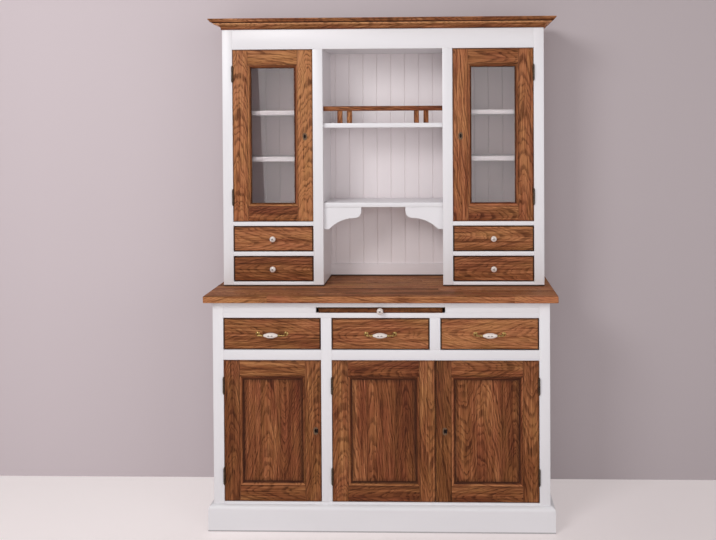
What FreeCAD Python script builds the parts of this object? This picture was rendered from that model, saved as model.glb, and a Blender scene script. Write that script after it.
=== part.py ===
import FreeCAD, Part
import math
import os
import types
import Sketcher

# Buffet cabinet: a painted base with doors, drawers and an oak top, and a glazed hutch on it.
# X runs along the front, Y to the back, Z up. The origin is under the middle of the whole.
SIZES = {
    # Overall
    "body_width": 1400,
    "base_depth": 450,
    "hutch_depth": 270,
    "board_thick": 20,
    "face_frame_thick": 22,
    "running_clearance": 0.3,
    # Plinth
    "plinth_height": 107,
    "plinth_thick": 20,
    "plinth_round": 18,
    # Base face frame, from the floor up
    "base_stile": 44,
    "sill_reveal": 10,
    "sill_height": 60,
    "cupboard_opening": 592,
    "middle_rail": 42.5,
    "drawer_opening": 133.5,
    "slot_rail": 20.5,
    "slot_height": 23.5,
    "base_top_rail": 23.5,
    "slot_length": 537,
    # Base boards
    "deck_thick": 18,
    "partition_thick": 18,
    "back_panel_thick": 8,
    "board_deck_thick": 12,
    "guide_height": 30,
    "board_guide_width": 20,
    "kicker_overlap": 20,
    "stretcher_width": 80,
    # Worktop
    "worktop_thick": 28,
    "worktop_overhang": 32,
    "worktop_round": 3,
    # Hutch face frame
    "pad_thick": 2,
    "pad_inset": 3,
    "hutch_stile": 43.5,
    "hutch_opening": 352,
    "hutch_floor_rail": 19,
    "small_drawer_opening": 113,
    "small_drawer_rail": 18.5,
    "cupboard_rail": 18,
    "glazed_opening": 752.5,
    "frieze_rail": 86.5,
    "small_deck_thick": 12,
    # Hutch back
    "back_board_thick": 12,
    "back_board_pitch": 65,
    "back_board_shift": 20,
    "back_board_groove": 2.5,
    "tongue_thick": 4,
    "tongue_length": 5,
    "back_rail_height": 55,
    "back_rail_thick": 10,
    # Hutch shelves
    "shelf_thick": 20,
    "shelf_setback": 18,
    "lower_bay_shelf_rise": 364.5,
    "gallery_shelf_rise": 348.5,
    "lower_cupboard_shelf_rise": 282,
    "upper_cupboard_shelf_rise": 204,
    "cleat_size": 16,
    # Scroll brackets
    "bracket_length_share": 0.6284,
    "bracket_height": 97,
    "bracket_thick": 20,
    "bracket_setback": 4,
    "bracket_foot": 22,
    "bracket_nose_round": 30,
    "bracket_waist_drop": 48,
    # Gallery
    "gallery_rail_height": 21,
    "gallery_rail_thick": 16,
    "gallery_rail_round": 5,
    "gallery_post_height": 53.5,
    "gallery_post_foot": 26,
    "gallery_post_neck": 22,
    "gallery_post_thick": 14,
    "gallery_post_inset": 72,
    "gallery_post_pitch": 42,
    # Cornice, drawn from its lower front corner outwards and up
    "cornice_height": 43.5,
    "cornice_reach": 49,
    "cornice_foot": 4,
    "cornice_lip": 5.5,
    "cornice_lip_reach": 3,
    "cornice_step_height": 22,
    "cornice_step_reach": 26,
    "cornice_step_width": 5,
    "cornice_step_rise": 3,
    # Doors
    "door_thick": 20,
    "door_gap": 2,
    "door_member": 66,
    "moulding_width": 14,
    "moulding_thick": 8,
    "moulding_edge": 3,
    "moulding_reveal": 1,
    "panel_thick": 7,
    "panel_groove": 8,
    "panel_play": 0.5,
    "glass_thick": 3,
    "glass_play": 1,
    # Hinges
    "hinge_height": 60,
    "hinge_inset": 107,
    "hinge_leaf_thick": 0.8,
    "hinge_leaf_depth": 16,
    "hinge_barrel_radius": 4,
    "hinge_pin_radius": 1.5,
    "hinge_finial": 7,
    "hinge_barrel_share": 0.36,
    # Locks
    "lock_height": 60,
    "lock_width": 46,
    "lock_thick": 11,
    "lock_wall": 2,
    "lock_edge": 1,
    "lock_bolt_height": 12,
    "lock_bolt_thick": 5,
    "lock_bolt_length": 34,
    "keyhole_radius": 3.4,
    "keyhole_slot": 2.8,
    "keyhole_length": 9,
    "escutcheon_radius": 9.5,
    "escutcheon_length": 13,
    "escutcheon_thick": 1,
    "glazed_keyhole_backset": 33,
    "left_keyhole_backset": 22,
    "right_keyhole_backset": 38,
    "glazed_keyhole_rise": 376,
    "base_keyhole_rise": 301,
    # Slide bolt in the passive door
    "slide_plate_height": 56,
    "slide_plate_width": 18,
    "slide_plate_thick": 1.5,
    "slide_plate_drop": 8,
    "slide_bolt_radius": 3,
    "slide_bolt_length": 62,
    "slide_guide_height": 8,
    "slide_guide_wall": 2.5,
    "slide_bolt_drop": 2,
    "slide_bolt_standoff": 1.5,
    "slide_travel": 12,
    "slide_grip_radius": 2.5,
    "slide_grip_length": 9,
    # Drawers
    "drawer_front_thick": 20,
    "drawer_side_thick": 12,
    "drawer_side_height": 105,
    "drawer_length": 390,
    "drawer_bottom_thick": 6,
    "drawer_bottom_rise": 8,
    "drawer_groove": 5,
    "drawer_bottom_play": 0.4,
    "small_side_height": 92,
    "small_drawer_length": 222,
    # Ceramic knobs
    "knob_radius": 13,
    "knob_length": 27,
    "knob_foot_radius": 8,
    "knob_foot_length": 4,
    "knob_neck_radius": 6,
    "knob_neck_length": 10,
    "knob_brim": 5,
    "board_knob_scale_share": 1.08,
    # Bow pulls
    "pull_spacing": 118,
    "pull_reach": 28,
    "pull_rod_radius": 3,
    "pull_bend": 9,
    "rosette_radius": 9.5,
    "rosette_thick": 3,
    "grip_length": 62,
    "grip_radius": 11.5,
    "grip_end_radius": 5,
    "collar_length": 9,
    "collar_radius": 6,
    "collar_tip_radius": 4,
    "collar_play": 0.2,
    # Serving board
    "serving_board_width": 515,
    "serving_board_thick": 20,
    "serving_board_length": 390,
    "board_lip_round": 3,
    "board_guide_play": 1,
    "board_guide_setback": 60,
}


class Length:
    """A size from the sheet, or one worked out from such sizes: its expression and its value."""

    def __init__(self, text, value):
        self.text = text
        self.value = value

    def __add__(self, other):
        return Length(f"({self.text} + {text_of(other)})", self.value + value_of(other))

    def __radd__(self, other):
        return Length(f"({text_of(other)} + {self.text})", value_of(other) + self.value)

    def __sub__(self, other):
        return Length(f"({self.text} - {text_of(other)})", self.value - value_of(other))

    def __rsub__(self, other):
        return Length(f"({text_of(other)} - {self.text})", value_of(other) - self.value)

    def __mul__(self, other):
        return Length(f"({self.text} * {text_of(other)})", self.value * value_of(other))

    def __truediv__(self, other):
        return Length(f"({self.text} / {text_of(other)})", self.value / value_of(other))

    def __neg__(self):
        return Length(f"(0 - {self.text})", 0 - self.value)


def text_of(amount):
    return amount.text if isinstance(amount, Length) else str(amount)


def value_of(amount):
    return amount.value if isinstance(amount, Length) else amount


document = FreeCAD.newDocument("BuffetCabinet")
sheet = document.addObject("Spreadsheet::Sheet", "Sizes")
for row, (alias, amount) in enumerate(SIZES.items(), start=1):
    sheet.set(f"A{row}", alias)
    sheet.set(f"B{row}", str(amount))
    sheet.setAlias(f"B{row}", alias)
document.recompute()
size = types.SimpleNamespace(**{alias: Length("Sizes." + alias, amount) for alias, amount in SIZES.items()})
NODES = []

# Turns that stand a piece made along Z on another axis
ALONG_Z = FreeCAD.Rotation()
ALONG_X = FreeCAD.Rotation(FreeCAD.Vector(0, 1, 0), 90)
TO_FRONT = FreeCAD.Rotation(FreeCAD.Vector(1, 0, 0), 90)
TO_BACK = FreeCAD.Rotation(FreeCAD.Vector(1, 0, 0), -90)


def stand(item, x, y, z, turn=ALONG_Z):
    """Put a piece's own origin at a point of the cabinet."""
    item.Placement.Rotation = turn
    for axis, amount in (("x", x), ("y", y), ("z", z)):
        item.setExpression("Placement.Base." + axis, text_of(amount))
    return item


def board(name, x, y, z):
    """A square-edged board between two limits on each axis."""
    item = document.addObject("Part::Box", name)
    for prop, (low, high) in (("Length", x), ("Width", y), ("Height", z)):
        item.setExpression(prop, text_of(high - low))
    return stand(item, x[0], y[0], z[0])


def rod(name, radius, length, x, y, z, turn=ALONG_Z):
    item = document.addObject("Part::Cylinder", name)
    item.setExpression("Radius", text_of(radius))
    item.setExpression("Height", text_of(length))
    return stand(item, x, y, z, turn)


def cone(name, low_radius, high_radius, length, x, y, z, turn=ALONG_Z):
    item = document.addObject("Part::Cone", name)
    item.setExpression("Radius1", text_of(low_radius))
    item.setExpression("Radius2", text_of(high_radius))
    item.setExpression("Height", text_of(length))
    return stand(item, x, y, z, turn)


def joined(name, pieces):
    item = document.addObject("Part::MultiFuse", name)
    item.Shapes = pieces
    return item


def cut(name, base, tools):
    item = document.addObject("Part::Cut", name)
    item.Base = base
    item.Tool = tools[0] if len(tools) == 1 else joined(name + "_tools", tools)
    return item


def node(label, pieces):
    """One named sub-part: its pieces stay separate solids."""
    item = document.addObject("Part::Compound", label)
    item.Label = label
    item.Links = pieces
    NODES.append(item)
    return item


def mirrored(side, near, far):
    """Two X limits on the right, or the same pair on the left."""
    return (near, far) if side > 0 else (-far, -near)


def outline(body, role, corners, closed=True):
    """Draw a sketch whose corners, and the centres of its round stretches, follow the sheet.

    A corner is (u, v), or (u, v, centre u, centre v, turn) where a round stretch starts at it.
    A turn of 1 runs counter-clockwise, and -1 clockwise.
    """
    sketch = body.newObject("Sketcher::SketchObject", body.Name + "_outline")
    plane = next(item for item in body.Origin.OriginFeatures if item.Role == role)
    sketch.AttachmentSupport = [(plane, "")]
    sketch.MapMode = "FlatFace"
    points = [FreeCAD.Vector(value_of(corner[0]), value_of(corner[1]), 0) for corner in corners]
    count = len(corners) if closed else len(corners) - 1
    ends = []
    for index in range(count):
        start = points[index]
        stop = points[(index + 1) % len(points)]
        if len(corners[index]) == 2:
            sketch.addGeometry(Part.LineSegment(start, stop))
            ends.append((1, 2))
            continue
        centre_u, centre_v, turn = corners[index][2:]
        centre = FreeCAD.Vector(value_of(centre_u), value_of(centre_v), 0)
        low, high = (start, stop) if turn > 0 else (stop, start)
        angles = [math.atan2(point.y - centre.y, point.x - centre.x) for point in (low, high)]
        circle = Part.Circle(centre, FreeCAD.Vector(0, 0, 1), (start - centre).Length)
        sketch.addGeometry(Part.ArcOfCircle(circle, angles[0], angles[1]))
        ends.append((1, 2) if turn > 0 else (2, 1))
        chord = stop - start
        steep = abs(chord.y) > abs(chord.x)
        rule = ("DistanceX", centre_u) if steep else ("DistanceY", centre_v)
        hold(sketch, rule[0], index, 3, rule[1])
    for index in range(count if closed else count - 1):
        following = (index + 1) % count
        sketch.addConstraint(
            Sketcher.Constraint("Coincident", index, ends[index][1], following, ends[following][0])
        )
    for index in range(count):
        hold(sketch, "DistanceX", index, ends[index][0], corners[index][0])
        hold(sketch, "DistanceY", index, ends[index][0], corners[index][1])
    if not closed:
        hold(sketch, "DistanceX", count - 1, ends[count - 1][1], corners[count][0])
        hold(sketch, "DistanceY", count - 1, ends[count - 1][1], corners[count][1])
    return sketch


def hold(sketch, rule, geometry, end, amount):
    """Fix one coordinate of a sketch point from the sketch's origin."""
    index = sketch.addConstraint(Sketcher.Constraint(rule, -1, 1, geometry, end, float(value_of(amount))))
    if isinstance(amount, Length):
        sketch.setExpression(f"Constraints[{index}]", amount.text)


def padded(name, role, corners, length, centred=False):
    """A body made by drawing its section and padding it."""
    body = document.addObject("PartDesign::Body", name)
    pad = body.newObject("PartDesign::Pad", name + "_pad")
    pad.Profile = outline(body, role, corners)
    pad.setExpression("Length", text_of(length))
    pad.SideType = "Symmetric" if centred else "One side"
    body.Tip = pad
    return body


def turned(name, corners):
    """A body turned about its own Z axis from a half section."""
    body = document.addObject("PartDesign::Body", name)
    sketch = outline(body, "XZ_Plane", corners)
    turning = body.newObject("PartDesign::Revolution", name + "_turning")
    turning.Profile = sketch
    turning.ReferenceAxis = (sketch, ["V_Axis"])
    turning.Angle = 360
    body.Tip = turning
    return body


def mitred_run(name, section, length, reach, mitred_ends):
    """A moulding along X with its section in YZ, its back at Y = 0 and its front at Y = -reach.

    Each named end, 1 on the right and -1 on the left, is cut at 45 degrees, so the back is shorter.
    """
    body = padded(name, "YZ_Plane", section, length, centred=True)
    half = length / 2
    for side in mitred_ends:
        corners = [
            (half * side, ZERO),
            (half * side, -reach),
            ((half - reach) * side, ZERO),
        ]
        mitre = body.newObject("PartDesign::Pocket", name + ("_right" if side > 0 else "_left") + "_mitre")
        mitre.Profile = outline(body, "XY_Plane", corners)
        mitre.setExpression("Length", text_of(length))
        mitre.SideType = "Symmetric"
        body.Tip = mitre
    return body


ZERO = Length("0", 0)

# Levels and limits that most pieces share
half_body = size.body_width / 2
pull_projection = size.pull_reach + size.grip_radius
back = (size.base_depth + pull_projection) / 2
base_front = back - size.base_depth
hutch_front = back - size.hutch_depth
inside = half_body - size.board_thick
base_behind_frame = base_front + size.face_frame_thick
hutch_behind_frame = hutch_front + size.face_frame_thick
base_back_inside = back - size.back_panel_thick
hutch_back_inside = back - size.back_board_thick

floor_top = size.plinth_height + size.sill_reveal
cupboard_top = floor_top + size.cupboard_opening
drawer_deck_top = cupboard_top + size.middle_rail
drawer_row_top = drawer_deck_top + size.drawer_opening
slot_bottom = drawer_row_top + size.slot_rail
slot_top = slot_bottom + size.slot_height
base_top = slot_top + size.base_top_rail
worktop_top = base_top + size.worktop_thick

hutch_bottom = worktop_top + size.pad_thick
lower_small_bottom = hutch_bottom + size.hutch_floor_rail
lower_small_top = lower_small_bottom + size.small_drawer_opening
upper_small_bottom = lower_small_top + size.small_drawer_rail
upper_small_top = upper_small_bottom + size.small_drawer_opening
glazed_bottom = upper_small_top + size.cupboard_rail
glazed_top = glazed_bottom + size.glazed_opening
hutch_top = glazed_top + size.frieze_rail

base_outer = half_body - size.base_stile
base_opening = (size.body_width - size.base_stile * 4) / 3
base_inner = base_outer - base_opening
base_middle = base_inner - size.base_stile
meeting_line = base_inner - size.base_stile / 2
hutch_outer = half_body - size.hutch_stile
hutch_inner = hutch_outer - size.hutch_opening
bay_side = hutch_inner - size.hutch_stile
divider_far = bay_side + size.board_thick

lower_bay_shelf_top = worktop_top + size.lower_bay_shelf_rise
gallery_shelf_top = lower_bay_shelf_top + size.gallery_shelf_rise
lower_cupboard_shelf_top = glazed_bottom + size.lower_cupboard_shelf_rise
upper_cupboard_shelf_top = lower_cupboard_shelf_top + size.upper_cupboard_shelf_rise

# Plinth: three skirting boards round the foot of the base, mitred, with a rounded upper edge
plinth_section = [
    (ZERO, ZERO),
    (-size.plinth_thick, ZERO),
    (-size.plinth_thick, size.plinth_height - size.plinth_round,
     size.plinth_round - size.plinth_thick, size.plinth_height - size.plinth_round, -1),
    (size.plinth_round - size.plinth_thick, size.plinth_height),
    (ZERO, size.plinth_height),
]


def three_runs(name, section, reach, front, half_width, level):
    """A front length and two side returns of one moulding, mitred at the front corners."""
    front_run = mitred_run(name + "_front", section, (half_width + reach) * 2, reach, (1, -1))
    runs = [stand(front_run, ZERO, front, level)]
    return_length = back - front + reach
    for side, tag, turn in ((-1, "left", -90), (1, "right", 90)):
        # Turned to run along the side, a return meets the front length with its inner-facing end
        side_run = mitred_run(f"{name}_{tag}", section, return_length, reach, (-side,))
        spin = FreeCAD.Rotation(FreeCAD.Vector(0, 0, 1), turn)
        runs.append(stand(side_run, half_width * side, back - return_length / 2, level, spin))
    return runs


node("plinth_boards", three_runs("plinth", plinth_section, size.plinth_thick, base_front, half_body, ZERO))

# Base face frame: stiles and rails, glued edge to edge
base_frame_y = (base_front, base_behind_frame)
sill_z = (floor_top - size.sill_height, floor_top)
base_frame = []
for side in (-1, 1):
    tag = "right" if side > 0 else "left"
    outer = mirrored(side, base_outer, half_body)
    base_frame.append(board(f"base_outer_stile_{tag}", outer, base_frame_y, (ZERO, base_top)))
    block = mirrored(side, size.slot_length / 2, base_outer)
    base_frame.append(board(f"slot_block_{tag}", block, base_frame_y, (slot_bottom, slot_top)))
full_rail = (-base_outer, base_outer)
base_frame.append(board("sill_rail", full_rail, base_frame_y, sill_z))
base_frame.append(board("slot_rail", full_rail, base_frame_y, (drawer_row_top, slot_bottom)))
base_frame.append(board("base_top_rail", full_rail, base_frame_y, (slot_top, base_top)))
tall_stile = (-base_inner, -base_middle)
base_frame.append(board("base_tall_stile", tall_stile, base_frame_y, (floor_top, drawer_row_top)))
middle_z = (cupboard_top, drawer_deck_top)
base_frame.append(board("middle_rail_left", (-base_outer, -base_inner), base_frame_y, middle_z))
base_frame.append(board("middle_rail_right", (-base_middle, base_outer), base_frame_y, middle_z))
short_stile = (base_middle, base_inner)
base_frame.append(board("base_short_stile", short_stile, base_frame_y, (drawer_deck_top, drawer_row_top)))
node("base_face_frame", base_frame)

# Base uprights: two sides, the partition behind the tall stile, two dividers in the drawer row
inner_width = (-inside, inside)
base_inner_y = (base_behind_frame, base_back_inside)
board_deck_bottom = slot_bottom - size.board_deck_thick
half_partition = size.partition_thick / 2
base_uprights = []
for side in (-1, 1):
    tag = "right" if side > 0 else "left"
    base_side_x = mirrored(side, inside, half_body)
    base_uprights.append(board(f"base_side_{tag}", base_side_x, (base_behind_frame, back), (ZERO, base_top)))
    divider = mirrored(side, meeting_line - half_partition, meeting_line + half_partition)
    base_uprights.append(
        board(f"drawer_divider_{tag}", divider, base_inner_y, (drawer_deck_top, board_deck_bottom))
    )
partition = (-meeting_line - half_partition, half_partition - meeting_line)
drawer_deck_bottom = drawer_deck_top - size.deck_thick
base_uprights.append(board("base_partition", partition, base_inner_y, (floor_top, drawer_deck_bottom)))
node("base_uprights", base_uprights)

# Base decks: the cupboard floor, the drawers' deck and the serving board's deck
node("base_decks", [
    board("base_floor", inner_width, base_inner_y, (floor_top - size.deck_thick, floor_top)),
    board("drawer_deck", inner_width, base_inner_y, (drawer_deck_bottom, drawer_deck_top)),
    board("board_deck", inner_width, base_inner_y, (board_deck_bottom, slot_bottom)),
])
node("base_back_panel", [
    board("base_back", inner_width, (base_back_inside, back), (floor_top - size.deck_thick, base_top)),
])

# Guides: strips beside each drawer, strips beside and over the serving board, and the stretchers
guides = []
guide_z = (drawer_deck_top, drawer_deck_top + size.guide_height)
for side in (-1, 1):
    tag = "right" if side > 0 else "left"
    for label, near, far in (
        ("outer", base_outer, inside),
        ("far", meeting_line + half_partition, base_inner),
        ("near", base_middle, meeting_line - half_partition),
    ):
        guides.append(board(f"guide_{label}_{tag}", mirrored(side, near, far), base_inner_y, guide_z))
    beside = size.serving_board_width / 2 + size.board_guide_play
    strip = mirrored(side, beside, beside + size.board_guide_width)
    strip_y = (base_behind_frame + size.board_guide_setback, base_back_inside)
    guides.append(board(f"board_guide_{tag}", strip, strip_y, (slot_bottom, slot_top)))
    kicker = mirrored(side, beside - size.kicker_overlap, beside + size.board_guide_width)
    front_stretcher_end = base_behind_frame + size.stretcher_width
    rear_stretcher_start = base_back_inside - size.stretcher_width
    kicker_y = (front_stretcher_end, rear_stretcher_start)
    guides.append(board(f"kicker_{tag}", kicker, kicker_y, (slot_top, base_top)))
stretcher_z = (slot_top, base_top)
guides.append(board("front_stretcher", inner_width, (base_behind_frame, front_stretcher_end), stretcher_z))
guides.append(board("rear_stretcher", inner_width, (rear_stretcher_start, base_back_inside), stretcher_z))

# Worktop: an oak top that overhangs the front and both ends, with eased edges
worktop_front = base_front - size.worktop_overhang
worktop_half = half_body + size.worktop_overhang
ease = size.worktop_round
worktop_section = [
    (ZERO, ZERO),
    (worktop_front - back + ease, ZERO, worktop_front - back + ease, ease, -1),
    (worktop_front - back, ease),
    (worktop_front - back, size.worktop_thick - ease,
     worktop_front - back + ease, size.worktop_thick - ease, -1),
    (worktop_front - back + ease, size.worktop_thick),
    (ZERO, size.worktop_thick),
]
worktop = padded("worktop_slab", "YZ_Plane", worktop_section, worktop_half * 2, centred=True)
node("worktop", [stand(worktop, ZERO, back, base_top)])

# Pads under the hutch, which leave the thin dark line over the worktop
pads = []
for side in (-1, 1):
    tag = "right" if side > 0 else "left"
    for label, near, far in (("outer", inside, half_body), ("inner", bay_side, divider_far)):
        x = mirrored(side, near + size.pad_inset, far - size.pad_inset)
        y = (hutch_behind_frame, hutch_back_inside)
        pads.append(board(f"pad_{label}_{tag}", x, y, (worktop_top, hutch_bottom)))
node("hutch_pads", pads)

# Hutch face frame
hutch_frame_y = (hutch_front, hutch_behind_frame)
hutch_frame = [board("frieze_rail", (-hutch_outer, hutch_outer), hutch_frame_y, (glazed_top, hutch_top))]
for side in (-1, 1):
    tag = "right" if side > 0 else "left"
    outer = mirrored(side, hutch_outer, half_body)
    inner = mirrored(side, bay_side, hutch_inner)
    between = mirrored(side, hutch_inner, hutch_outer)
    hutch_frame.append(board(f"hutch_outer_stile_{tag}", outer, hutch_frame_y, (hutch_bottom, hutch_top)))
    hutch_frame.append(board(f"hutch_inner_stile_{tag}", inner, hutch_frame_y, (hutch_bottom, glazed_top)))
    for label, low, high in (
        ("floor", hutch_bottom, lower_small_bottom),
        ("small", lower_small_top, upper_small_bottom),
        ("cupboard", upper_small_top, glazed_bottom),
    ):
        hutch_frame.append(board(f"hutch_{label}_rail_{tag}", between, hutch_frame_y, (low, high)))
node("hutch_face_frame", hutch_frame)

# Hutch uprights and decks
hutch_inner_y = (hutch_behind_frame, hutch_back_inside)
hutch_uprights = []
hutch_decks = [
    board("hutch_top_board", inner_width, hutch_inner_y, (glazed_top, glazed_top + size.deck_thick)),
]
for side in (-1, 1):
    tag = "right" if side > 0 else "left"
    outer = mirrored(side, inside, half_body)
    inner = mirrored(side, bay_side, divider_far)
    bay = mirrored(side, divider_far, inside)
    hutch_uprights.append(
        board(f"hutch_side_{tag}", outer, (hutch_behind_frame, back), (hutch_bottom, hutch_top))
    )
    hutch_uprights.append(board(f"hutch_divider_{tag}", inner, hutch_inner_y, (hutch_bottom, glazed_top)))
    for label, low, high in (
        ("floor", hutch_bottom, lower_small_bottom),
        ("deck", upper_small_bottom - size.small_deck_thick, upper_small_bottom),
        ("cupboard_floor", glazed_bottom - size.deck_thick, glazed_bottom),
    ):
        hutch_decks.append(board(f"hutch_{label}_{tag}", bay, hutch_inner_y, (low, high)))
    for row, level in (("lower", lower_small_bottom), ("upper", upper_small_bottom)):
        for label, near, far in (("near", divider_far, hutch_inner), ("far", hutch_outer, inside)):
            strip = mirrored(side, near, far)
            heights = (level, level + size.guide_height)
            guides.append(board(f"small_guide_{row}_{label}_{tag}", strip, hutch_inner_y, heights))
node("hutch_uprights", hutch_uprights)
node("hutch_decks", hutch_decks)
node("drawer_guides", guides)

# Back boards: tongue and groove, with a small V along each joint, and one wider closing board
pitch = size.back_board_pitch
left_count = int((inside.value + size.back_board_shift.value) // pitch.value)
right_count = int((inside.value - size.back_board_shift.value) // pitch.value)
closing = inside.value - size.back_board_shift.value - right_count * pitch.value
right_count = right_count - 1 if closing < pitch.value / 2 else right_count
joint_lines = [size.back_board_shift + pitch * step for step in range(-left_count, right_count + 1)]
board_edges = [-inside] + joint_lines + [inside]
tongue_low = (size.back_board_thick - size.tongue_thick) / 2
tongue_high = (size.back_board_thick + size.tongue_thick) / 2


def back_board(name, low, high, has_groove, has_tongue):
    """One board standing on end, with its face at Y = 0 and its back at the board's thickness."""
    width = high - low
    chamfer = size.back_board_groove
    slot = size.tongue_length + size.running_clearance
    corners = [(ZERO, size.back_board_thick)]
    if has_groove:
        corners += [
            (ZERO, tongue_high),
            (slot, tongue_high),
            (slot, tongue_low),
            (ZERO, tongue_low),
        ]
    corners += [(ZERO, chamfer), (chamfer, ZERO), (width - chamfer, ZERO), (width, chamfer)]
    if has_tongue:
        corners += [
            (width, tongue_low),
            (width + size.tongue_length, tongue_low),
            (width + size.tongue_length, tongue_high),
            (width, tongue_high),
        ]
    corners.append((width, size.back_board_thick))
    body = padded(name, "XY_Plane", corners, hutch_top - hutch_bottom)
    return stand(body, low, hutch_back_inside, hutch_bottom)


last_board = len(board_edges) - 2
back_boards = []
for index in range(last_board + 1):
    low, high = board_edges[index], board_edges[index + 1]
    back_boards.append(back_board(f"back_board_{index + 1:02d}", low, high, index > 0, index < last_board))
node("back_boards", back_boards)
bay_width = (-bay_side, bay_side)
back_rail_y = (hutch_back_inside - size.back_rail_thick, hutch_back_inside)
node("bay_back_rail", [
    board("back_rail", bay_width, back_rail_y, (hutch_bottom, hutch_bottom + size.back_rail_height)),
])

# Cupboard shelves on cleats, set back behind the glazed doors
cupboard_shelves = []
cleats = []
shelf_y = (hutch_behind_frame + size.shelf_setback, hutch_back_inside)
for side in (-1, 1):
    tag = "right" if side > 0 else "left"
    for label, top in (("lower", lower_cupboard_shelf_top), ("upper", upper_cupboard_shelf_top)):
        heights = (top - size.shelf_thick, top)
        under = (heights[0] - size.cleat_size, heights[0])
        span = mirrored(side, divider_far, inside)
        cupboard_shelves.append(board(f"{label}_shelf_{tag}", span, shelf_y, heights))
        near_cleat = mirrored(side, divider_far, divider_far + size.cleat_size)
        far_cleat = mirrored(side, inside - size.cleat_size, inside)
        cleats.append(board(f"{label}_near_cleat_{tag}", near_cleat, shelf_y, under))
        cleats.append(board(f"{label}_far_cleat_{tag}", far_cleat, shelf_y, under))
node("cupboard_shelves", cupboard_shelves)
node("shelf_cleats", cleats)

# Bay shelves, a little behind the stiles
bay_front = hutch_front + size.shelf_setback
bay_y = (bay_front, hutch_back_inside)
bay_low_bottom = lower_bay_shelf_top - size.shelf_thick
bay_low_z = (bay_low_bottom, lower_bay_shelf_top)
bay_high_z = (gallery_shelf_top - size.shelf_thick, gallery_shelf_top)
node("bay_shelves", [
    board("lower_bay_shelf", bay_width, bay_y, bay_low_z),
    board("gallery_shelf", bay_width, bay_y, bay_high_z),
])


def bracket_outline(side):
    """Foot against the divider, a hollow up to the waist, then a round nose under the shelf."""
    run = bay_side * size.bracket_length_share
    drop = size.bracket_height
    waist = size.bracket_waist_drop
    nose_u = run - size.bracket_nose_round
    nose_centre_v = waist - size.bracket_nose_round
    hollow_u = nose_u
    # The hollow is one arc that leaves the foot's corner and meets the waist level
    rise = drop - waist
    reach = hollow_u - size.bracket_foot
    hollow_radius = (reach * reach + rise * rise) / (rise * 2)
    points = [
        (ZERO, ZERO),
        (ZERO, -drop),
        (size.bracket_foot, -drop, hollow_u, -(waist + hollow_radius), -1),
        (nose_u, -waist, nose_u, -nose_centre_v, 1),
        (run, -nose_centre_v),
        (run, ZERO),
    ]
    if side > 0:
        flipped = []
        for point in points:
            if len(point) == 2:
                flipped.append((-point[0], point[1]))
            else:
                flipped.append((-point[0], point[1], -point[2], point[3], -point[4]))
        return flipped
    return points


# Scroll brackets under the lower bay shelf
brackets = []
bracket_front = bay_front + size.bracket_setback
for side in (-1, 1):
    tag = "right" if side > 0 else "left"
    body = padded(f"scroll_bracket_{tag}", "XZ_Plane", bracket_outline(side), size.bracket_thick)
    brackets.append(stand(body, bay_side * side, bracket_front + size.bracket_thick, bay_low_bottom))
node("scroll_brackets", brackets)

# Gallery: an oak rail with rounded edges on four tapered posts
round_edge = size.gallery_rail_round
rail_section = [
    (round_edge, ZERO),
    (size.gallery_rail_thick - round_edge, ZERO, size.gallery_rail_thick - round_edge, round_edge, 1),
    (size.gallery_rail_thick, round_edge),
    (size.gallery_rail_thick, size.gallery_rail_height - round_edge,
     size.gallery_rail_thick - round_edge, size.gallery_rail_height - round_edge, 1),
    (size.gallery_rail_thick - round_edge, size.gallery_rail_height),
    (round_edge, size.gallery_rail_height, round_edge, size.gallery_rail_height - round_edge, 1),
    (ZERO, size.gallery_rail_height - round_edge),
    (ZERO, round_edge, round_edge, round_edge, 1),
]
gallery_y = bay_front + size.bracket_setback
gallery_rail = padded("gallery_bar", "YZ_Plane", rail_section, bay_side * 2, centred=True)
post_top = gallery_shelf_top + size.gallery_post_height
gallery = [stand(gallery_rail, ZERO, gallery_y, post_top)]
post_y = gallery_y + (size.gallery_rail_thick - size.gallery_post_thick) / 2
outer_post = bay_side - size.gallery_post_inset
inner_post = outer_post - size.gallery_post_pitch
for side, tag in ((-1, "left"), (1, "right")):
    for label, place in (("outer", outer_post), ("inner", inner_post)):
        post = document.addObject("Part::Wedge", f"gallery_post_{label}_{tag}")
        taper = (size.gallery_post_foot - size.gallery_post_neck) / 2
        for prop, amount in (
            ("Xmin", ZERO), ("Xmax", size.gallery_post_foot),
            ("X2min", taper), ("X2max", size.gallery_post_foot - taper),
            ("Ymin", ZERO), ("Ymax", size.gallery_post_height),
            ("Zmin", ZERO), ("Zmax", size.gallery_post_thick),
            ("Z2min", ZERO), ("Z2max", size.gallery_post_thick),
        ):
            post.setExpression(prop, text_of(amount))
        left = place * side - size.gallery_post_foot / 2
        gallery.append(stand(post, left, post_y + size.gallery_post_thick, gallery_shelf_top, TO_FRONT))
node("gallery_rail", gallery)

# Cornice: a foot, a cove, a small step, a rounded fascia and a lip
cove_bottom = size.cornice_foot
step_v = size.cornice_step_height
step_u = size.cornice_step_reach
fascia_u = step_u + size.cornice_step_width
fascia_v = step_v + size.cornice_step_rise
lip_v = size.cornice_height - size.cornice_lip
lip_u = size.cornice_reach - size.cornice_lip_reach
cove_rise = step_v - cove_bottom
cove_run = step_u - cove_bottom
cove_centre = (cove_run * cove_run + cove_rise * cove_rise) / (cove_run * 2)
fascia_rise = lip_v - fascia_v
fascia_run = lip_u - fascia_u
fascia_centre = (fascia_run * fascia_run + fascia_rise * fascia_rise) / (fascia_run * 2)
cornice_section = [
    (size.face_frame_thick, ZERO),
    (-cove_bottom, ZERO),
    (-cove_bottom, cove_bottom, -(cove_bottom + cove_centre), cove_bottom, 1),
    (-step_u, step_v),
    (-fascia_u, step_v),
    (-fascia_u, fascia_v, fascia_centre - lip_u, lip_v, -1),
    (-lip_u, lip_v),
    (-size.cornice_reach, lip_v),
    (-size.cornice_reach, size.cornice_height),
    (size.face_frame_thick, size.cornice_height),
]
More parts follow.
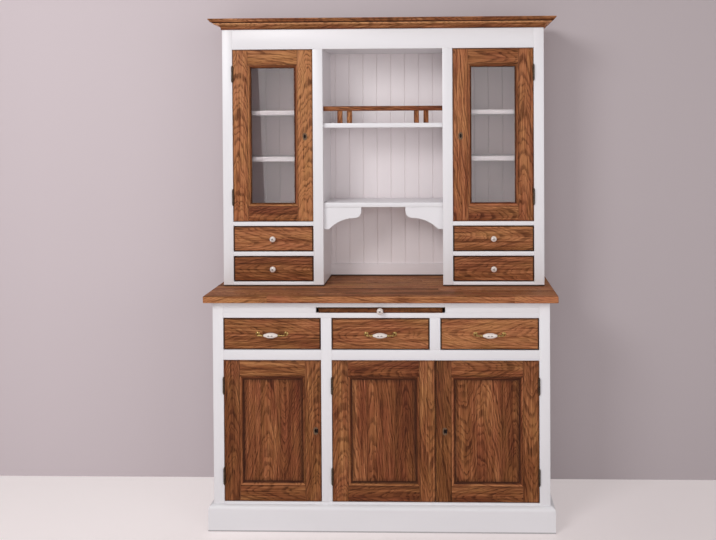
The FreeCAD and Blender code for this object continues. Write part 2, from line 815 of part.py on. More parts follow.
cornice_reach = size.cornice_reach + size.face_frame_thick


def shifted(section, shift):
    """The same section with its back moved to zero."""
    moved = []
    for point in section:
        if len(point) == 2:
            moved.append((point[0] - shift, point[1]))
        else:
            moved.append((point[0] - shift, point[1], point[2] - shift, point[3], point[4]))
    return moved


node("cornice", three_runs(
    "cornice", shifted(cornice_section, size.face_frame_thick), cornice_reach,
    hutch_behind_frame, half_body - size.face_frame_thick, hutch_top,
))


def mitred_strips(name, x, z, seat, width, outer_thick, inner_thick, facing):
    """Four bevelled strips round a rectangle, mitred at its corners, on a plane at Y = seat.

    Facing -1 slopes them to the front, and 1 to the back.
    """
    strips = []
    places = {
        "bottom": (0, x[0], z[0], x[1] - x[0]),
        "right": (-90, x[1], z[0], z[1] - z[0]),
        "top": (180, x[1], z[1], x[1] - x[0]),
        "left": (90, x[0], z[1], z[1] - z[0]),
    }
    if facing > 0:
        places = {
            "bottom": (0, x[1], z[0], x[1] - x[0]),
            "right": (-90, x[1], z[1], z[1] - z[0]),
            "top": (180, x[0], z[1], x[1] - x[0]),
            "left": (90, x[0], z[0], z[1] - z[0]),
        }
    about = FreeCAD.Rotation(FreeCAD.Vector(0, 0, 1), 180 if facing > 0 else 0)
    for label, (turn, base_x, base_z, length) in places.items():
        strip = document.addObject("Part::Wedge", f"{name}_{label}")
        for prop, amount in (
            ("Xmin", ZERO), ("Xmax", length), ("X2min", width), ("X2max", length - width),
            ("Ymin", ZERO), ("Ymax", width), ("Zmin", ZERO), ("Zmax", outer_thick),
            ("Z2min", ZERO), ("Z2max", inner_thick),
        ):
            strip.setExpression(prop, text_of(amount))
        spin = FreeCAD.Rotation(FreeCAD.Vector(0, 1, 0), turn) * about * TO_FRONT
        strips.append(stand(strip, base_x, seat, base_z, spin))
    return strips


def keyhole_tools(name, x, z, front, depth):
    """A round hole over a short slot, right through a stile."""
    half_slot = size.keyhole_slot / 2
    return [
        rod(name + "_eye", size.keyhole_radius, depth, x, front, z, TO_BACK),
        board(
            name + "_slot", (x - half_slot, x + half_slot), (front, front + depth),
            (z - size.keyhole_length, z),
        ),
    ]


def hinge(name, side, axis_x, front, middle):
    """A butt hinge in the gap between a stile and a door that lies on the given side of it.

    Returns the leaf on the frame, the pin, and the leaf on the door.
    """
    half_gap = size.door_gap / 2
    axis_y = front - size.hinge_barrel_radius - size.running_clearance
    half = size.hinge_height / 2
    knuckle = size.hinge_height * size.hinge_barrel_share
    play = size.running_clearance
    bore = size.hinge_pin_radius + play
    leaf_y = (front, front + size.hinge_leaf_depth)
    tab_y = (axis_y, front)
    low = middle - half
    high = middle + half

    def leaf(label, toward, spans, leaf_z):
        near = half_gap - size.hinge_leaf_thick
        if toward > 0:
            x = (axis_x + near, axis_x + half_gap)
        else:
            x = (axis_x - half_gap, axis_x - near)
        pieces = [board(f"{name}_{label}_plate", x, leaf_y, leaf_z)]
        for number, (start, stop) in enumerate(spans):
            pieces.append(board(f"{name}_{label}_tab_{number}", x, tab_y, (start, stop)))
            pieces.append(rod(
                f"{name}_{label}_barrel_{number}", size.hinge_barrel_radius, stop - start,
                axis_x, axis_y, start,
            ))
        whole = joined(f"{name}_{label}_whole", pieces)
        hole = rod(f"{name}_{label}_bore", bore, size.hinge_height, axis_x, axis_y, low)
        return cut(f"{name}_{label}", whole, [hole])

    fixed_spans = [(low, low + knuckle), (high - knuckle, high)]
    moving_span = [(low + knuckle + play, high - knuckle - play)]
    fixed = leaf("frame_leaf", -side, fixed_spans, (low, high))
    moving = leaf("door_leaf", side, moving_span, (low, high))
    tip = size.hinge_barrel_radius
    pin = joined(f"{name}_pin", [
        rod(f"{name}_pin_shaft", size.hinge_pin_radius, size.hinge_height, axis_x, axis_y, low),
        cone(f"{name}_finial_high", tip, size.hinge_pin_radius, size.hinge_finial, axis_x, axis_y, high),
        cone(
            f"{name}_finial_low", size.hinge_pin_radius, tip, size.hinge_finial,
            axis_x, axis_y, low - size.hinge_finial,
        ),
    ])
    return fixed, pin, moving


def lock(name, free_side, edge, keyhole_x, keyhole_z, front):
    """A cupboard lock on the back of a stile: its case, escutcheon, and the bolt that slides out."""
    behind = front + size.door_thick
    near = size.lock_edge
    far = size.lock_edge + size.lock_width

    def inward(first, second):
        """X limits measured from the door's free edge into the door."""
        if free_side > 0:
            return (edge - second, edge - first)
        return (edge + first, edge + second)

    play = size.running_clearance
    half_height = size.lock_height / 2
    bolt_half = size.lock_bolt_height / 2
    bolt_start = behind + (size.lock_thick - size.lock_bolt_thick) / 2
    bolt_y = (bolt_start, bolt_start + size.lock_bolt_thick)
    centre = keyhole_z
    case_z = (centre - half_height, centre + half_height)
    block = board(name + "_block", inward(near, far), (behind, behind + size.lock_thick), case_z)
    case = cut(name + "_case", block, [
        board(
            name + "_channel",
            inward(near, far - size.lock_wall),
            (bolt_y[0] - play, bolt_y[1] + play),
            (centre - bolt_half - play, centre + bolt_half + play),
        ),
    ])
    bolt = board(
        name + "_bolt", inward(near, near + size.lock_bolt_length), bolt_y,
        (centre - bolt_half, centre + bolt_half),
    )
    radius = size.escutcheon_radius
    rise = (size.escutcheon_length - size.keyhole_length) / 2
    plate_y = front - size.escutcheon_thick
    plate = cut(name + "_escutcheon", joined(name + "_plate", [
        rod(
            name + "_plate_high", radius, size.escutcheon_thick,
            keyhole_x, plate_y, keyhole_z + rise, TO_BACK,
        ),
        rod(
            name + "_plate_low", radius, size.escutcheon_thick,
            keyhole_x, plate_y, keyhole_z - size.keyhole_length - rise, TO_BACK,
        ),
        board(
            name + "_plate_waist", (keyhole_x - radius, keyhole_x + radius), (plate_y, front),
            (keyhole_z - size.keyhole_length - rise, keyhole_z + rise),
        ),
    ]), keyhole_tools(name + "_plate_hole", keyhole_x, keyhole_z, plate_y, size.escutcheon_thick))
    return case, plate, bolt


def slide_bolt(name, edge, top, front):
    """A small upright bolt on the back of the passive door's stile, near its top."""
    behind = front + size.door_thick
    centre_x = edge - size.door_member / 2
    half_plate = size.slide_plate_width / 2
    plate_top = top - size.slide_plate_drop
    plate_low = plate_top - size.slide_plate_height
    plate_y = (behind, behind + size.slide_plate_thick)
    radius = size.slide_bolt_radius
    play = size.running_clearance
    axis_y = plate_y[1] + radius + size.slide_bolt_standoff
    half_guide = radius + play + size.slide_guide_wall
    bolt_low = top - size.slide_bolt_drop - size.slide_bolt_length
    fittings = [
        board(
            name + "_plate", (centre_x - half_plate, centre_x + half_plate), plate_y,
            (plate_low, plate_top),
        ),
    ]
    for label, low in (("low", plate_low), ("high", plate_top - size.slide_guide_height)):
        z = (low, low + size.slide_guide_height)
        block = board(
            f"{name}_{label}_block", (centre_x - half_guide, centre_x + half_guide),
            (plate_y[1], axis_y + half_guide), z,
        )
        bore = rod(f"{name}_{label}_bore", radius + play, size.slide_guide_height, centre_x, axis_y, low)
        fittings.append(cut(f"{name}_{label}_guide", block, [bore]))
    grip_z = bolt_low + size.slide_bolt_length / 2 - size.slide_travel
    bolt = joined(name + "_bolt", [
        rod(name + "_shaft", radius, size.slide_bolt_length, centre_x, axis_y, bolt_low),
        rod(
            name + "_grip", size.slide_grip_radius, size.slide_grip_length,
            centre_x, axis_y, grip_z, TO_BACK,
        ),
    ])
    return fittings, bolt


def door(name, x, z, front, hinge_side, keyhole, glazed):
    """An inset framed door: members, mitred mouldings, a pane or a panel, and its metalwork.

    Hinge_side is -1 where the door hangs on its left edge. Keyhole is (X, Z), or None on the
    passive door of a pair, which has a slide bolt instead.
    """
    y = (front, front + size.door_thick)
    member = size.door_member
    left, right = x
    low, high = z
    free_side = -hinge_side
    free_edge = right if free_side > 0 else left
    clear_x = (left + member, right - member)
    clear_z = (low + member, high - member)
    seat = front + size.moulding_reveal + size.moulding_thick
    panel_y = (seat, seat + size.panel_thick)
    groove_x = (clear_x[0] - size.panel_groove, clear_x[1] + size.panel_groove)
    groove_z = (clear_z[0] - size.panel_groove, clear_z[1] + size.panel_groove)
    members = []
    for label, piece_x, piece_z in (
        ("left_stile", (left, clear_x[0]), z),
        ("right_stile", (clear_x[1], right), z),
        ("bottom_rail", clear_x, (low, clear_z[0])),
        ("top_rail", clear_x, (clear_z[1], high)),
    ):
        piece = board(f"{name}_{label}", piece_x, y, piece_z)
        tools = []
        if not glazed:
            tools.append(board(f"{name}_{label}_groove", groove_x, panel_y, groove_z))
        if keyhole and label == ("right_stile" if free_side > 0 else "left_stile"):
            tools += keyhole_tools(f"{name}_keyhole", keyhole[0], keyhole[1], front, size.door_thick)
        members.append(cut(f"{name}_{label}_cut", piece, tools) if tools else piece)
    width = size.moulding_width
    mouldings = mitred_strips(
        name + "_moulding", clear_x, clear_z, seat, width, size.moulding_thick, size.moulding_edge, -1
    )
    if glazed:
        play = size.glass_play
        glass_y = (seat, seat + size.glass_thick)
        pane = board(
            name + "_pane", (clear_x[0] + play, clear_x[1] - play), glass_y,
            (clear_z[0] + play, clear_z[1] - play),
        )
        bead_thick = size.door_thick - size.moulding_reveal - size.moulding_thick - size.glass_thick
        mouldings += mitred_strips(
            name + "_bead", clear_x, clear_z, glass_y[1], width, bead_thick, size.moulding_edge, 1
        )
        infill = node(name + "_glass", [pane])
    else:
        play = size.panel_play
        field = board(
            name + "_field", (groove_x[0] + play, groove_x[1] - play), panel_y,
            (groove_z[0] + play, groove_z[1] - play),
        )
        infill = node(name + "_panel", [field])
    node(name + "_frame", members + mouldings)
    fittings = []
    axis_x = left - size.door_gap / 2 if hinge_side < 0 else right + size.door_gap / 2
    for label, middle in (
        ("low_hinge", low - size.door_gap + size.hinge_inset),
        ("high_hinge", high + size.door_gap - size.hinge_inset),
    ):
        fixed, pin, moving = hinge(f"{name}_{label}", -hinge_side, axis_x, front, middle)
        frame_leaves.append(fixed)
        hinge_pins.append(pin)
        fittings.append(moving)
    if keyhole:
        case, plate, bolt = lock(f"{name}_lock", free_side, free_edge, keyhole[0], keyhole[1], front)
        fittings += [case, plate]
    else:
        guides_of_bolt, bolt = slide_bolt(f"{name}_slide", free_edge, high, front)
        fittings += guides_of_bolt
    node(name + "_fittings", fittings)
    node(name + "_bolt", [bolt])
    return infill


frame_leaves = []
hinge_pins = []
gap = size.door_gap

# Glazed doors
glazed_z = (glazed_bottom + gap, glazed_top - gap)
for side, tag in ((-1, "left"), (1, "right")):
    x = mirrored(side, hutch_inner + gap, hutch_outer - gap)
    keyhole_x = (hutch_inner + gap + size.glazed_keyhole_backset) * side
    keyhole_z = glazed_bottom + size.glazed_keyhole_rise
    door(f"glazed_door_{tag}", x, glazed_z, hutch_front, side, (keyhole_x, keyhole_z), True)

# Base doors: one alone on the left, and a pair that meets behind the short stile's line
base_door_z = (floor_top + gap, cupboard_top - gap)
left_door_x = (gap - base_outer, -base_inner - gap)
base_keyhole_z = floor_top + size.base_keyhole_rise
left_keyhole = (left_door_x[1] - size.left_keyhole_backset, base_keyhole_z)
door("base_door_left", left_door_x, base_door_z, base_front, -1, left_keyhole, False)
middle_door_x = (gap - base_middle, meeting_line - gap / 2)
door("base_door_middle", middle_door_x, base_door_z, base_front, -1, None, False)
right_door_x = (meeting_line + gap / 2, base_outer - gap)
right_keyhole = (right_door_x[0] + size.right_keyhole_backset, base_keyhole_z)
door("base_door_right", right_door_x, base_door_z, base_front, 1, right_keyhole, False)
node("frame_hinge_leaves", frame_leaves + hinge_pins)


def drawer_box(name, centre, bottom, opening_width, opening_height, front, side_height, length):
    """A drawer: its front, two sides, back and a bottom held in grooves."""
    half_box = opening_width / 2 - size.door_gap
    behind = front + size.drawer_front_thick
    end = behind + length
    rest = bottom + size.running_clearance
    side_top = rest + side_height
    side_thick = size.drawer_side_thick
    bottom_low = rest + size.drawer_bottom_rise
    bottom_z = (bottom_low, bottom_low + size.drawer_bottom_thick)
    bottom_half = half_box - side_thick + size.drawer_groove
    groove_front = behind - size.drawer_groove
    groove = ((centre - bottom_half, centre + bottom_half), (groove_front, end), bottom_z)
    pieces = [cut(name + "_front", board(
        name + "_front_blank", (centre - half_box, centre + half_box), (front, behind),
        (bottom + size.door_gap, bottom + opening_height - size.door_gap),
    ), [board(name + "_front_groove", *groove)])]
    for side, tag in ((-1, "left"), (1, "right")):
        low_x = centre - half_box if side < 0 else centre + half_box - side_thick
        blank = board(f"{name}_side_{tag}_blank", (low_x, low_x + side_thick), (behind, end), (rest, side_top))
        tool = board(f"{name}_side_{tag}_groove", *groove)
        pieces.append(cut(f"{name}_side_{tag}", blank, [tool]))
    inner = (centre - half_box + side_thick, centre + half_box - side_thick)
    pieces.append(board(name + "_back", inner, (end - side_thick, end), (bottom_z[1], side_top)))
    play = size.drawer_bottom_play
    bottom_x = (groove[0][0] + play, groove[0][1] - play)
    pieces.append(board(name + "_bottom", bottom_x, (groove_front + play, end), bottom_z))
    return pieces


def knob(name, scale, x, front, z):
    """A turned ceramic knob: a foot, a neck and a domed head."""
    radius = size.knob_radius * scale
    foot = size.knob_foot_radius * scale
    neck = size.knob_neck_radius * scale
    foot_length = size.knob_foot_length * scale
    neck_end = size.knob_neck_length * scale
    length = size.knob_length * scale
    brim = size.knob_brim * scale
    shoulder = neck_end + brim
    dome_rise = length - shoulder
    dome_centre = length - (radius * radius + dome_rise * dome_rise) / (dome_rise * 2)
    corners = [
        (ZERO, ZERO),
        (foot, ZERO),
        (foot, foot_length),
        (neck, foot_length + (foot - neck)),
        (neck, neck_end),
        (radius, shoulder, ZERO, dome_centre, 1),
        (ZERO, length),
    ]
    return stand(turned(name, corners), x, front, z, TO_FRONT)


# Small drawers: the fronts and boxes are one node each, and the knob another
half_small = size.hutch_opening / 2
for side, tag in ((-1, "left"), (1, "right")):
    for row, level in (("lower", lower_small_bottom), ("upper", upper_small_bottom)):
        name = f"small_drawer_{row}_{tag}"
        centre = (hutch_inner + half_small) * side
        node(name, drawer_box(
            name, centre, level, size.hutch_opening, size.small_drawer_opening, hutch_front,
            size.small_side_height, size.small_drawer_length,
        ))
        middle_z = level + size.small_drawer_opening / 2
        node(name + "_knob", [knob(name + "_knob_turned", 1, centre, hutch_front, middle_z)])


def pull_bow(name, x, front, z):
    """A brass bow: one bent rod with a rosette at each foot and a collar at each end of the grip."""
    body = document.addObject("PartDesign::Body", name + "_rod")
    span = size.pull_spacing
    bend = size.pull_bend
    reach = size.pull_reach
    foot = size.rosette_thick
    section = body.newObject("Sketcher::SketchObject", name + "_section")
    plane = next(item for item in body.Origin.OriginFeatures if item.Role == "XZ_Plane")
    section.AttachmentSupport = [(plane, "")]
    section.MapMode = "FlatFace"
    circle = Part.Circle(FreeCAD.Vector(0, 0, 0), FreeCAD.Vector(0, 0, 1), size.pull_rod_radius.value)
    section.addGeometry(circle)
    section.addConstraint(Sketcher.Constraint("Coincident", 0, 3, -1, 1))
    radius_rule = section.addConstraint(Sketcher.Constraint("Radius", 0, size.pull_rod_radius.value))
    section.setExpression(f"Constraints[{radius_rule}]", size.pull_rod_radius.text)
    arm = reach - foot - bend
    path = outline(body, "XY_Plane", [
        (ZERO, ZERO),
        (ZERO, -arm, bend, -arm, 1),
        (bend, -(arm + bend)),
        (span - bend, -(arm + bend), span - bend, -arm, 1),
        (span, -arm),
        (span, ZERO),
    ], closed=False)
    pipe = body.newObject("PartDesign::AdditivePipe", name + "_pipe")
    pipe.Profile = section
    pipe.Spine = (path, [])
    body.Tip = pipe
    left = x - span / 2
    pieces = [stand(body, left, front - foot, z)]
    for label, foot_x in (("left", left), ("right", left + span)):
        pieces.append(rod(f"{name}_rosette_{label}", size.rosette_radius, foot, foot_x, front, z, TO_FRONT))
    half_grip = size.grip_length / 2
    for label, turn, start in (
        ("left", ALONG_X, x - half_grip - size.collar_length),
        ("right", FreeCAD.Rotation(FreeCAD.Vector(0, 1, 0), -90), x + half_grip + size.collar_length),
    ):
        inner = size.pull_rod_radius + size.collar_play
        collar = turned(f"{name}_collar_{label}", [
            (inner, ZERO),
            (size.collar_tip_radius, ZERO),
            (size.collar_radius, size.collar_length),
            (inner, size.collar_length),
        ])
        pieces.append(stand(collar, start, front - reach, z, turn))
    return pieces


def pull_grip(name, x, front, z):
    """A ceramic barrel threaded on the bow's rod."""
    half_grip = size.grip_length / 2
    swell = size.grip_radius - size.grip_end_radius
    barrel_radius = (half_grip * half_grip + swell * swell) / (swell * 2)
    bore = size.pull_rod_radius + size.collar_play
    body = turned(name, [
        (bore, ZERO),
        (size.grip_end_radius, ZERO, size.grip_radius - barrel_radius, half_grip, 1),
        (size.grip_end_radius, size.grip_length),
        (bore, size.grip_length),
    ])
    return stand(body, x - half_grip, front - size.pull_reach, z, ALONG_X)


# Base drawers, each with its bow pull and grip
base_drawer_pitch = base_opening + size.base_stile
for step, tag in ((-1, "left"), (0, "middle"), (1, "right")):
    name = f"base_drawer_{tag}"
    centre = base_drawer_pitch * step
    node(name, drawer_box(
        name, centre, drawer_deck_top, base_opening, size.drawer_opening, base_front,
        size.drawer_side_height, size.drawer_length,
    ))
    pull_z = drawer_deck_top + size.drawer_opening / 2
    node(name + "_pull", pull_bow(name + "_pull", centre, base_front, pull_z))
    node(name + "_grip", [pull_grip(name + "_grip_barrel", centre, base_front, pull_z)])

# Serving board: slides on its deck, between guides and under kickers
board_low = slot_bottom + size.running_clearance
lip = size.board_lip_round
serving_section = [
    (lip, ZERO),
    (size.serving_board_length + size.door_thick, ZERO),
    (size.serving_board_length + size.door_thick, size.serving_board_thick),
    (lip, size.serving_board_thick, lip, size.serving_board_thick - lip, 1),
    (ZERO, size.serving_board_thick - lip),
    (ZERO, lip, lip, lip, 1),
]
slab = padded("serving_slab", "YZ_Plane", serving_section, size.serving_board_width, centred=True)
node("serving_board", [stand(slab, ZERO, base_front, board_low)])
board_middle = board_low + size.serving_board_thick / 2
node("serving_board_knob", [
    knob("serving_knob_turned", size.board_knob_scale_share, ZERO, base_front, board_middle),
])

document.recompute()
faults = []
for item in document.Objects:
    if {"Invalid", "Error"} & set(item.State):
        faults.append(item.Name)
for item in NODES:
    if item.Shape.isNull() or not item.Shape.isValid():
        faults.append(item.Label)
if faults:
    raise RuntimeError("These did not build: " + ", ".join(faults))

os.makedirs("parts", exist_ok=True)
for item in NODES:
    item.Shape.exportStep(f"parts/{item.Label}.step")
print(len(NODES), "sub-parts written")
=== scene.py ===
import math
import random

import bpy
from mathutils import Matrix, Vector


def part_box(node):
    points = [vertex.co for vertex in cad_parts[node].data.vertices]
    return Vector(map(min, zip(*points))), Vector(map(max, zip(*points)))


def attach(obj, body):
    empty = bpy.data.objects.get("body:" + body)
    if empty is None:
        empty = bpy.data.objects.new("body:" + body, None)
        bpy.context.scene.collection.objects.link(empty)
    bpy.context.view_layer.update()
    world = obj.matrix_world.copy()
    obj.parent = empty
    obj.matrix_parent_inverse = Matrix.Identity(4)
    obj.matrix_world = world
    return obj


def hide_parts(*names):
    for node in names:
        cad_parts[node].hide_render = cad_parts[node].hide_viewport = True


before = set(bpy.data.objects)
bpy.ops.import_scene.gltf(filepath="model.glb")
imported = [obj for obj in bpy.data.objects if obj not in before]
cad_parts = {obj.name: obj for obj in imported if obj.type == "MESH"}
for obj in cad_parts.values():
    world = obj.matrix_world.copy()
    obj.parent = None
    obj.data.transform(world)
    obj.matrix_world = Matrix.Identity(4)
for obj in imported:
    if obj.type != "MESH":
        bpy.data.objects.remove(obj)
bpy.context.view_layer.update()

# The view: a camera at standing eye height, a step to the right of the middle, level and square on.
# Its lens and shift come from the cabinet's own straight edges in the photograph. Three soft lamps and
# a pale surround light the cabinet plainly.
CAMERA_PLACE = (0.2623, -3.59255, 1.680)
yaw, pitch, tilt = -0.0261, 0.0128, -0.0051
scene = bpy.context.scene
scene.view_settings.view_transform = "Standard"
camera_data = bpy.data.cameras.new("camera")
camera_data.sensor_width = 36
camera_data.lens = 41.295
camera_data.shift_x = -0.08855
camera_data.shift_y = -0.18666
camera = bpy.data.objects.new("camera", camera_data)
scene.collection.objects.link(camera)
scene.camera = camera
look = Vector((math.sin(yaw) * math.cos(pitch), math.cos(yaw) * math.cos(pitch), -math.sin(pitch)))
level_right = Vector((math.cos(yaw), -math.sin(yaw), 0))
level_up = level_right.cross(look)
right = level_right * math.cos(tilt) + level_up * math.sin(tilt)
up = level_up * math.cos(tilt) - level_right * math.sin(tilt)
turned = Matrix((right, up, -look)).transposed().to_4x4()
camera.matrix_world = Matrix.Translation(CAMERA_PLACE) @ turned
LAMP_TONE = (0.97, 0.985, 1.0)


def softbox(name, place, aim_height, width, height, power):
    """A soft square lamp, turned to the middle of the cabinet at a given height."""
    data = bpy.data.lights.new(name, "AREA")
    data.shape, data.size, data.size_y = "RECTANGLE", width, height
    data.energy, data.color = power, LAMP_TONE
    lamp = bpy.data.objects.new(name, data)
    scene.collection.objects.link(lamp)
    lamp.location = place
    aim = Vector((0, 0, aim_height)) - Vector(place)
    lamp.rotation_euler = aim.to_track_quat("-Z", "Y").to_euler()


softbox("key_light", (-2.0, -3.3, 3.4), 1.0, 1.5, 1.4, 73)
softbox("fill_light", (2.8, -3.4, 1.7), 0.9, 2.4, 2.2, 29)
softbox("front_light", (0.1, -5.2, 1.8), 0.9, 3.6, 2.4, 44)


def add_node(tree, kind, inputs=(), **settings):
    """A shader node with its settings and inputs. A node given as an input stands for its first output."""
    made = tree.nodes.new("ShaderNode" + kind)
    for key, value in settings.items():
        setattr(made, key, value)
    for key, value in dict(inputs).items():
        if isinstance(value, bpy.types.Node):
            value = value.outputs[0]
        if isinstance(value, bpy.types.NodeSocket):
            tree.links.new(value, made.inputs[key])
        else:
            made.inputs[key].default_value = value
    return made


def math_of(tree, operation, first, second=0.0, third=0.0):
    """The result of one math node."""
    return add_node(tree, "Math", {0: first, 1: second, 2: third}, operation=operation).outputs[0]


def seen_directly(tree):
    """1 for rays from the camera, also once metal or glass sent them on, and 0 for light on other things."""
    rays = add_node(tree, "LightPath").outputs
    seen = math_of(tree, "MAXIMUM", rays["Is Camera Ray"], rays["Is Glossy Ray"])
    seen = math_of(tree, "MAXIMUM", seen, rays["Is Transmission Ray"])
    return math_of(tree, "MULTIPLY", seen, math_of(tree, "LESS_THAN", rays["Diffuse Depth"], 0.5))


world = bpy.data.worlds.new("studio")
scene.world = world
world.use_nodes = True
tree = world.node_tree
tree.nodes.clear()
ambient = add_node(tree, "Background", {"Color": (1.0, 0.94, 0.95, 1), "Strength": 0.38})
beyond = add_node(tree, "Background", {"Color": (0.50, 0.45, 0.465, 1), "Strength": 1.0})
sky = add_node(tree, "MixShader", {0: seen_directly(tree), 1: ambient, 2: beyond})
add_node(tree, "OutputWorld", {"Surface": sky})

# The studio: a pale floor and a plain backdrop behind the cabinet, both darker to the right, a painted fall
# of the light from the left.
# The backdrop shows only from the front, and it casts nothing on the cabinet.
FLOOR_DROP = 0.0005


def new_material(name):
    """An empty node material; returns it with its tree."""
    made = bpy.data.materials.new(name)
    made.use_nodes = True
    made.node_tree.nodes.clear()
    return made, made.node_tree


def finish_material(tree, **inputs):
    """Close a material with a Principled shader and its output."""
    values = {key.replace("_", " "): value for key, value in inputs.items()}
    add_node(tree, "OutputMaterial", {"Surface": add_node(tree, "BsdfPrincipled", values)})


def object_place(tree):
    """A point's place in the cabinet."""
    return add_node(tree, "TexCoord").outputs["Object"]


def axes_of(tree, vector):
    """The three numbers of a vector."""
    return add_node(tree, "SeparateXYZ", {0: vector}).outputs


def ramp(tree, value, low, high, first=0.0, last=1.0):
    """A value carried from one range to another, and held at its ends."""
    return add_node(tree, "MapRange", {0: value, 1: low, 2: high, 3: first, 4: last}).outputs[0]


def blend(tree, factor, first, second, how="MIX"):
    """Two colours mixed or multiplied."""
    inputs = {"Factor": factor, "A": first, "B": second}
    return add_node(tree, "Mix", inputs, data_type="RGBA", blend_type=how).outputs[2]


def noise(tree, place, scale, detail, roughness=0.5):
    """Noise with the same grain in all directions: a value about 0.5."""
    inputs = {"Vector": place, "Scale": scale, "Detail": detail, "Roughness": roughness}
    return add_node(tree, "TexNoise", inputs).outputs["Fac"]


bpy.ops.object.select_all(action="DESELECT")
bpy.ops.mesh.primitive_plane_add(size=14, location=(0, 0, -FLOOR_DROP))
floor = bpy.context.active_object
floor.name = "floor"
floor_material, tree = new_material("pale_floor")
place = object_place(tree)
# A painted fall of light: the floor darkens to the right.
painted_falloff = ramp(tree, axes_of(tree, place)[0], -1.0, 1.2, 0.0, 0.85)
mottle = math_of(tree, "MULTIPLY_ADD", noise(tree, place, 1.3, 3), 0.2, painted_falloff)
glow = math_of(tree, "MULTIPLY", seen_directly(tree), 0.25)
finish_material(
    tree, Base_Color=blend(tree, mottle, (0.86, 0.79, 0.78, 1), (0.60, 0.53, 0.53, 1)), Roughness=0.6,
    Emission_Color=(1.0, 0.93, 0.92, 1), Emission_Strength=glow,
)
floor.data.materials.append(floor_material)
bpy.ops.mesh.primitive_plane_add(size=1, location=(0, 0.30, 3), rotation=(math.radians(90), 0, 0))
backdrop = bpy.context.active_object
backdrop.name = "backdrop"
backdrop.scale = (14, 6, 1)
backdrop_material, tree = new_material("backdrop")
# A painted fall of light: the backdrop darkens to the right.
painted_falloff = ramp(tree, axes_of(tree, object_place(tree))[0], -0.12, 0.06)
wall = add_node(tree, "BsdfDiffuse", {
    "Color": blend(tree, painted_falloff, (0.66, 0.58, 0.60, 1), (0.51, 0.45, 0.46, 1)),
})
from_behind = add_node(tree, "NewGeometry").outputs["Backfacing"]
shown = add_node(tree, "MixShader", {0: from_behind, 1: wall, 2: add_node(tree, "BsdfTransparent")})
add_node(tree, "OutputMaterial", {"Surface": shown})
backdrop.data.materials.append(backdrop_material)
backdrop.visible_shadow = False
backdrop.visible_diffuse = False

# Plinth and base face frame: planed softwood, glued edge to edge and brushed with satin white paint.
# The plinth boards are mitred round the foot, and every frame member's long edges are just eased.
BASE_FRONT = -0.20525
FRAME_THICK = 0.022
BODY_HALF = 0.700
BASE_OPENING_HALF = 0.656
INNER_STILE = (-0.248, -0.204)
SHORT_STILE = (0.204, 0.248)
SLOT_HALF = 0.2685
SILL_RAIL = (0.057, 0.117)
MIDDLE_RAIL = (0.709, 0.7515)
SLOT_RAIL = (0.885, 0.9055)
BASE_TOP_RAIL = (0.929, 0.9525)
PAINT_TONE = (0.80, 0.785, 0.80, 1)
SLOT_SHADE_DARK = (0.045, 0.02, 0.012, 1)
# The dark line painted just over a foot is a painted contact shadow.
FOOT_LINE = (0.05, 0.03, 0.025, 1)
FOOT_LINE_TOP, FOOT_LINE_FADED = 0.0046, 0.0060
PAINT_RELIEF = (0.35, 0.0003)
LEAST_EDGE = 0.001
rolls = random.Random(418)


def group_tree(name, inputs, outputs):
    """A node group. Each input has its kind or, if it is a number, its first value; outputs have names.
    Returns the group with the sockets that come in and those that go out."""
    group = bpy.data.node_groups.new(name, "ShaderNodeTree")
    for label, kind in inputs.items():
        number = not isinstance(kind, str)
        socket_type = "NodeSocketFloat" if number else "NodeSocket" + kind
        made = group.interface.new_socket(label, in_out="INPUT", socket_type=socket_type)
        if number:
            made.default_value = kind
    for label in outputs:
        socket_type = "NodeSocketColor" if label == "Colour" else "NodeSocketFloat"
        group.interface.new_socket(label, in_out="OUTPUT", socket_type=socket_type)
    return group, group.nodes.new("NodeGroupInput").outputs, group.nodes.new("NodeGroupOutput").inputs


def put_out(group, outside, **values):
    """Link what a node group puts out."""
    for label, value in values.items():
        group.links.new(value, outside[label])


def attribute(tree, name, output="Vector"):
    """What a mesh holds for its corners under a name."""
    return add_node(tree, "Attribute", attribute_name=name).outputs[output]


def scaled(tree, vector, share):
    """A vector or colour times one number."""
    return add_node(tree, "VectorMath", {0: vector, "Scale": share}, operation="SCALE").outputs[0]


def stretched_noise(tree, place, seed, stretch, detail, roughness=0.5):
    """Noise drawn out along the grain: a value about 0.5."""
    drawn = add_node(tree, "VectorMath", {0: place, 1: stretch, 2: seed}, operation="MULTIPLY_ADD")
    return noise(tree, drawn, 1.0, detail, roughness)


def raised(tree, height, strength, distance):
    """The surface's direction where fine relief tilts it."""
    return add_node(tree, "Bump", {"Height": height, "Strength": strength, "Distance": distance}).outputs[0]


tree, inside, outside = group_tree(
    "brushed_paint", {"Place": "Vector", "Seed": "Vector", "Tone": "Color"}, ("Colour", "Roughness", "Height")
)
brushed_paint = tree
seed = scaled(tree, inside["Seed"], 31.0)
strokes, cloud, pores = (
    stretched_noise(tree, inside["Place"], seed, stretch, detail)
    for stretch, detail in (((9, 420, 420), 2), ((2.5, 7, 7), 3), ((30, 900, 900), 1))
)
shade = math_of(tree, "MULTIPLY_ADD", cloud, 0.06, 0.955)
shade = math_of(tree, "MULTIPLY_ADD", strokes, 0.015, shade)
put_out(
    tree, outside, Colour=scaled(tree, inside["Tone"], shade),
    Roughness=math_of(tree, "MULTIPLY_ADD", cloud, 0.16, 0.3),
    Height=math_of(tree, "MULTIPLY_ADD", strokes, 0.7, math_of(tree, "MULTIPLY", pores, 0.3)),
)


def turned_upright(tree, place):
    """A place with its height along the grain."""
    return add_node(tree, "Mapping", {"Vector": place, "Rotation": (0, math.radians(90), 0)}).outputs[0]


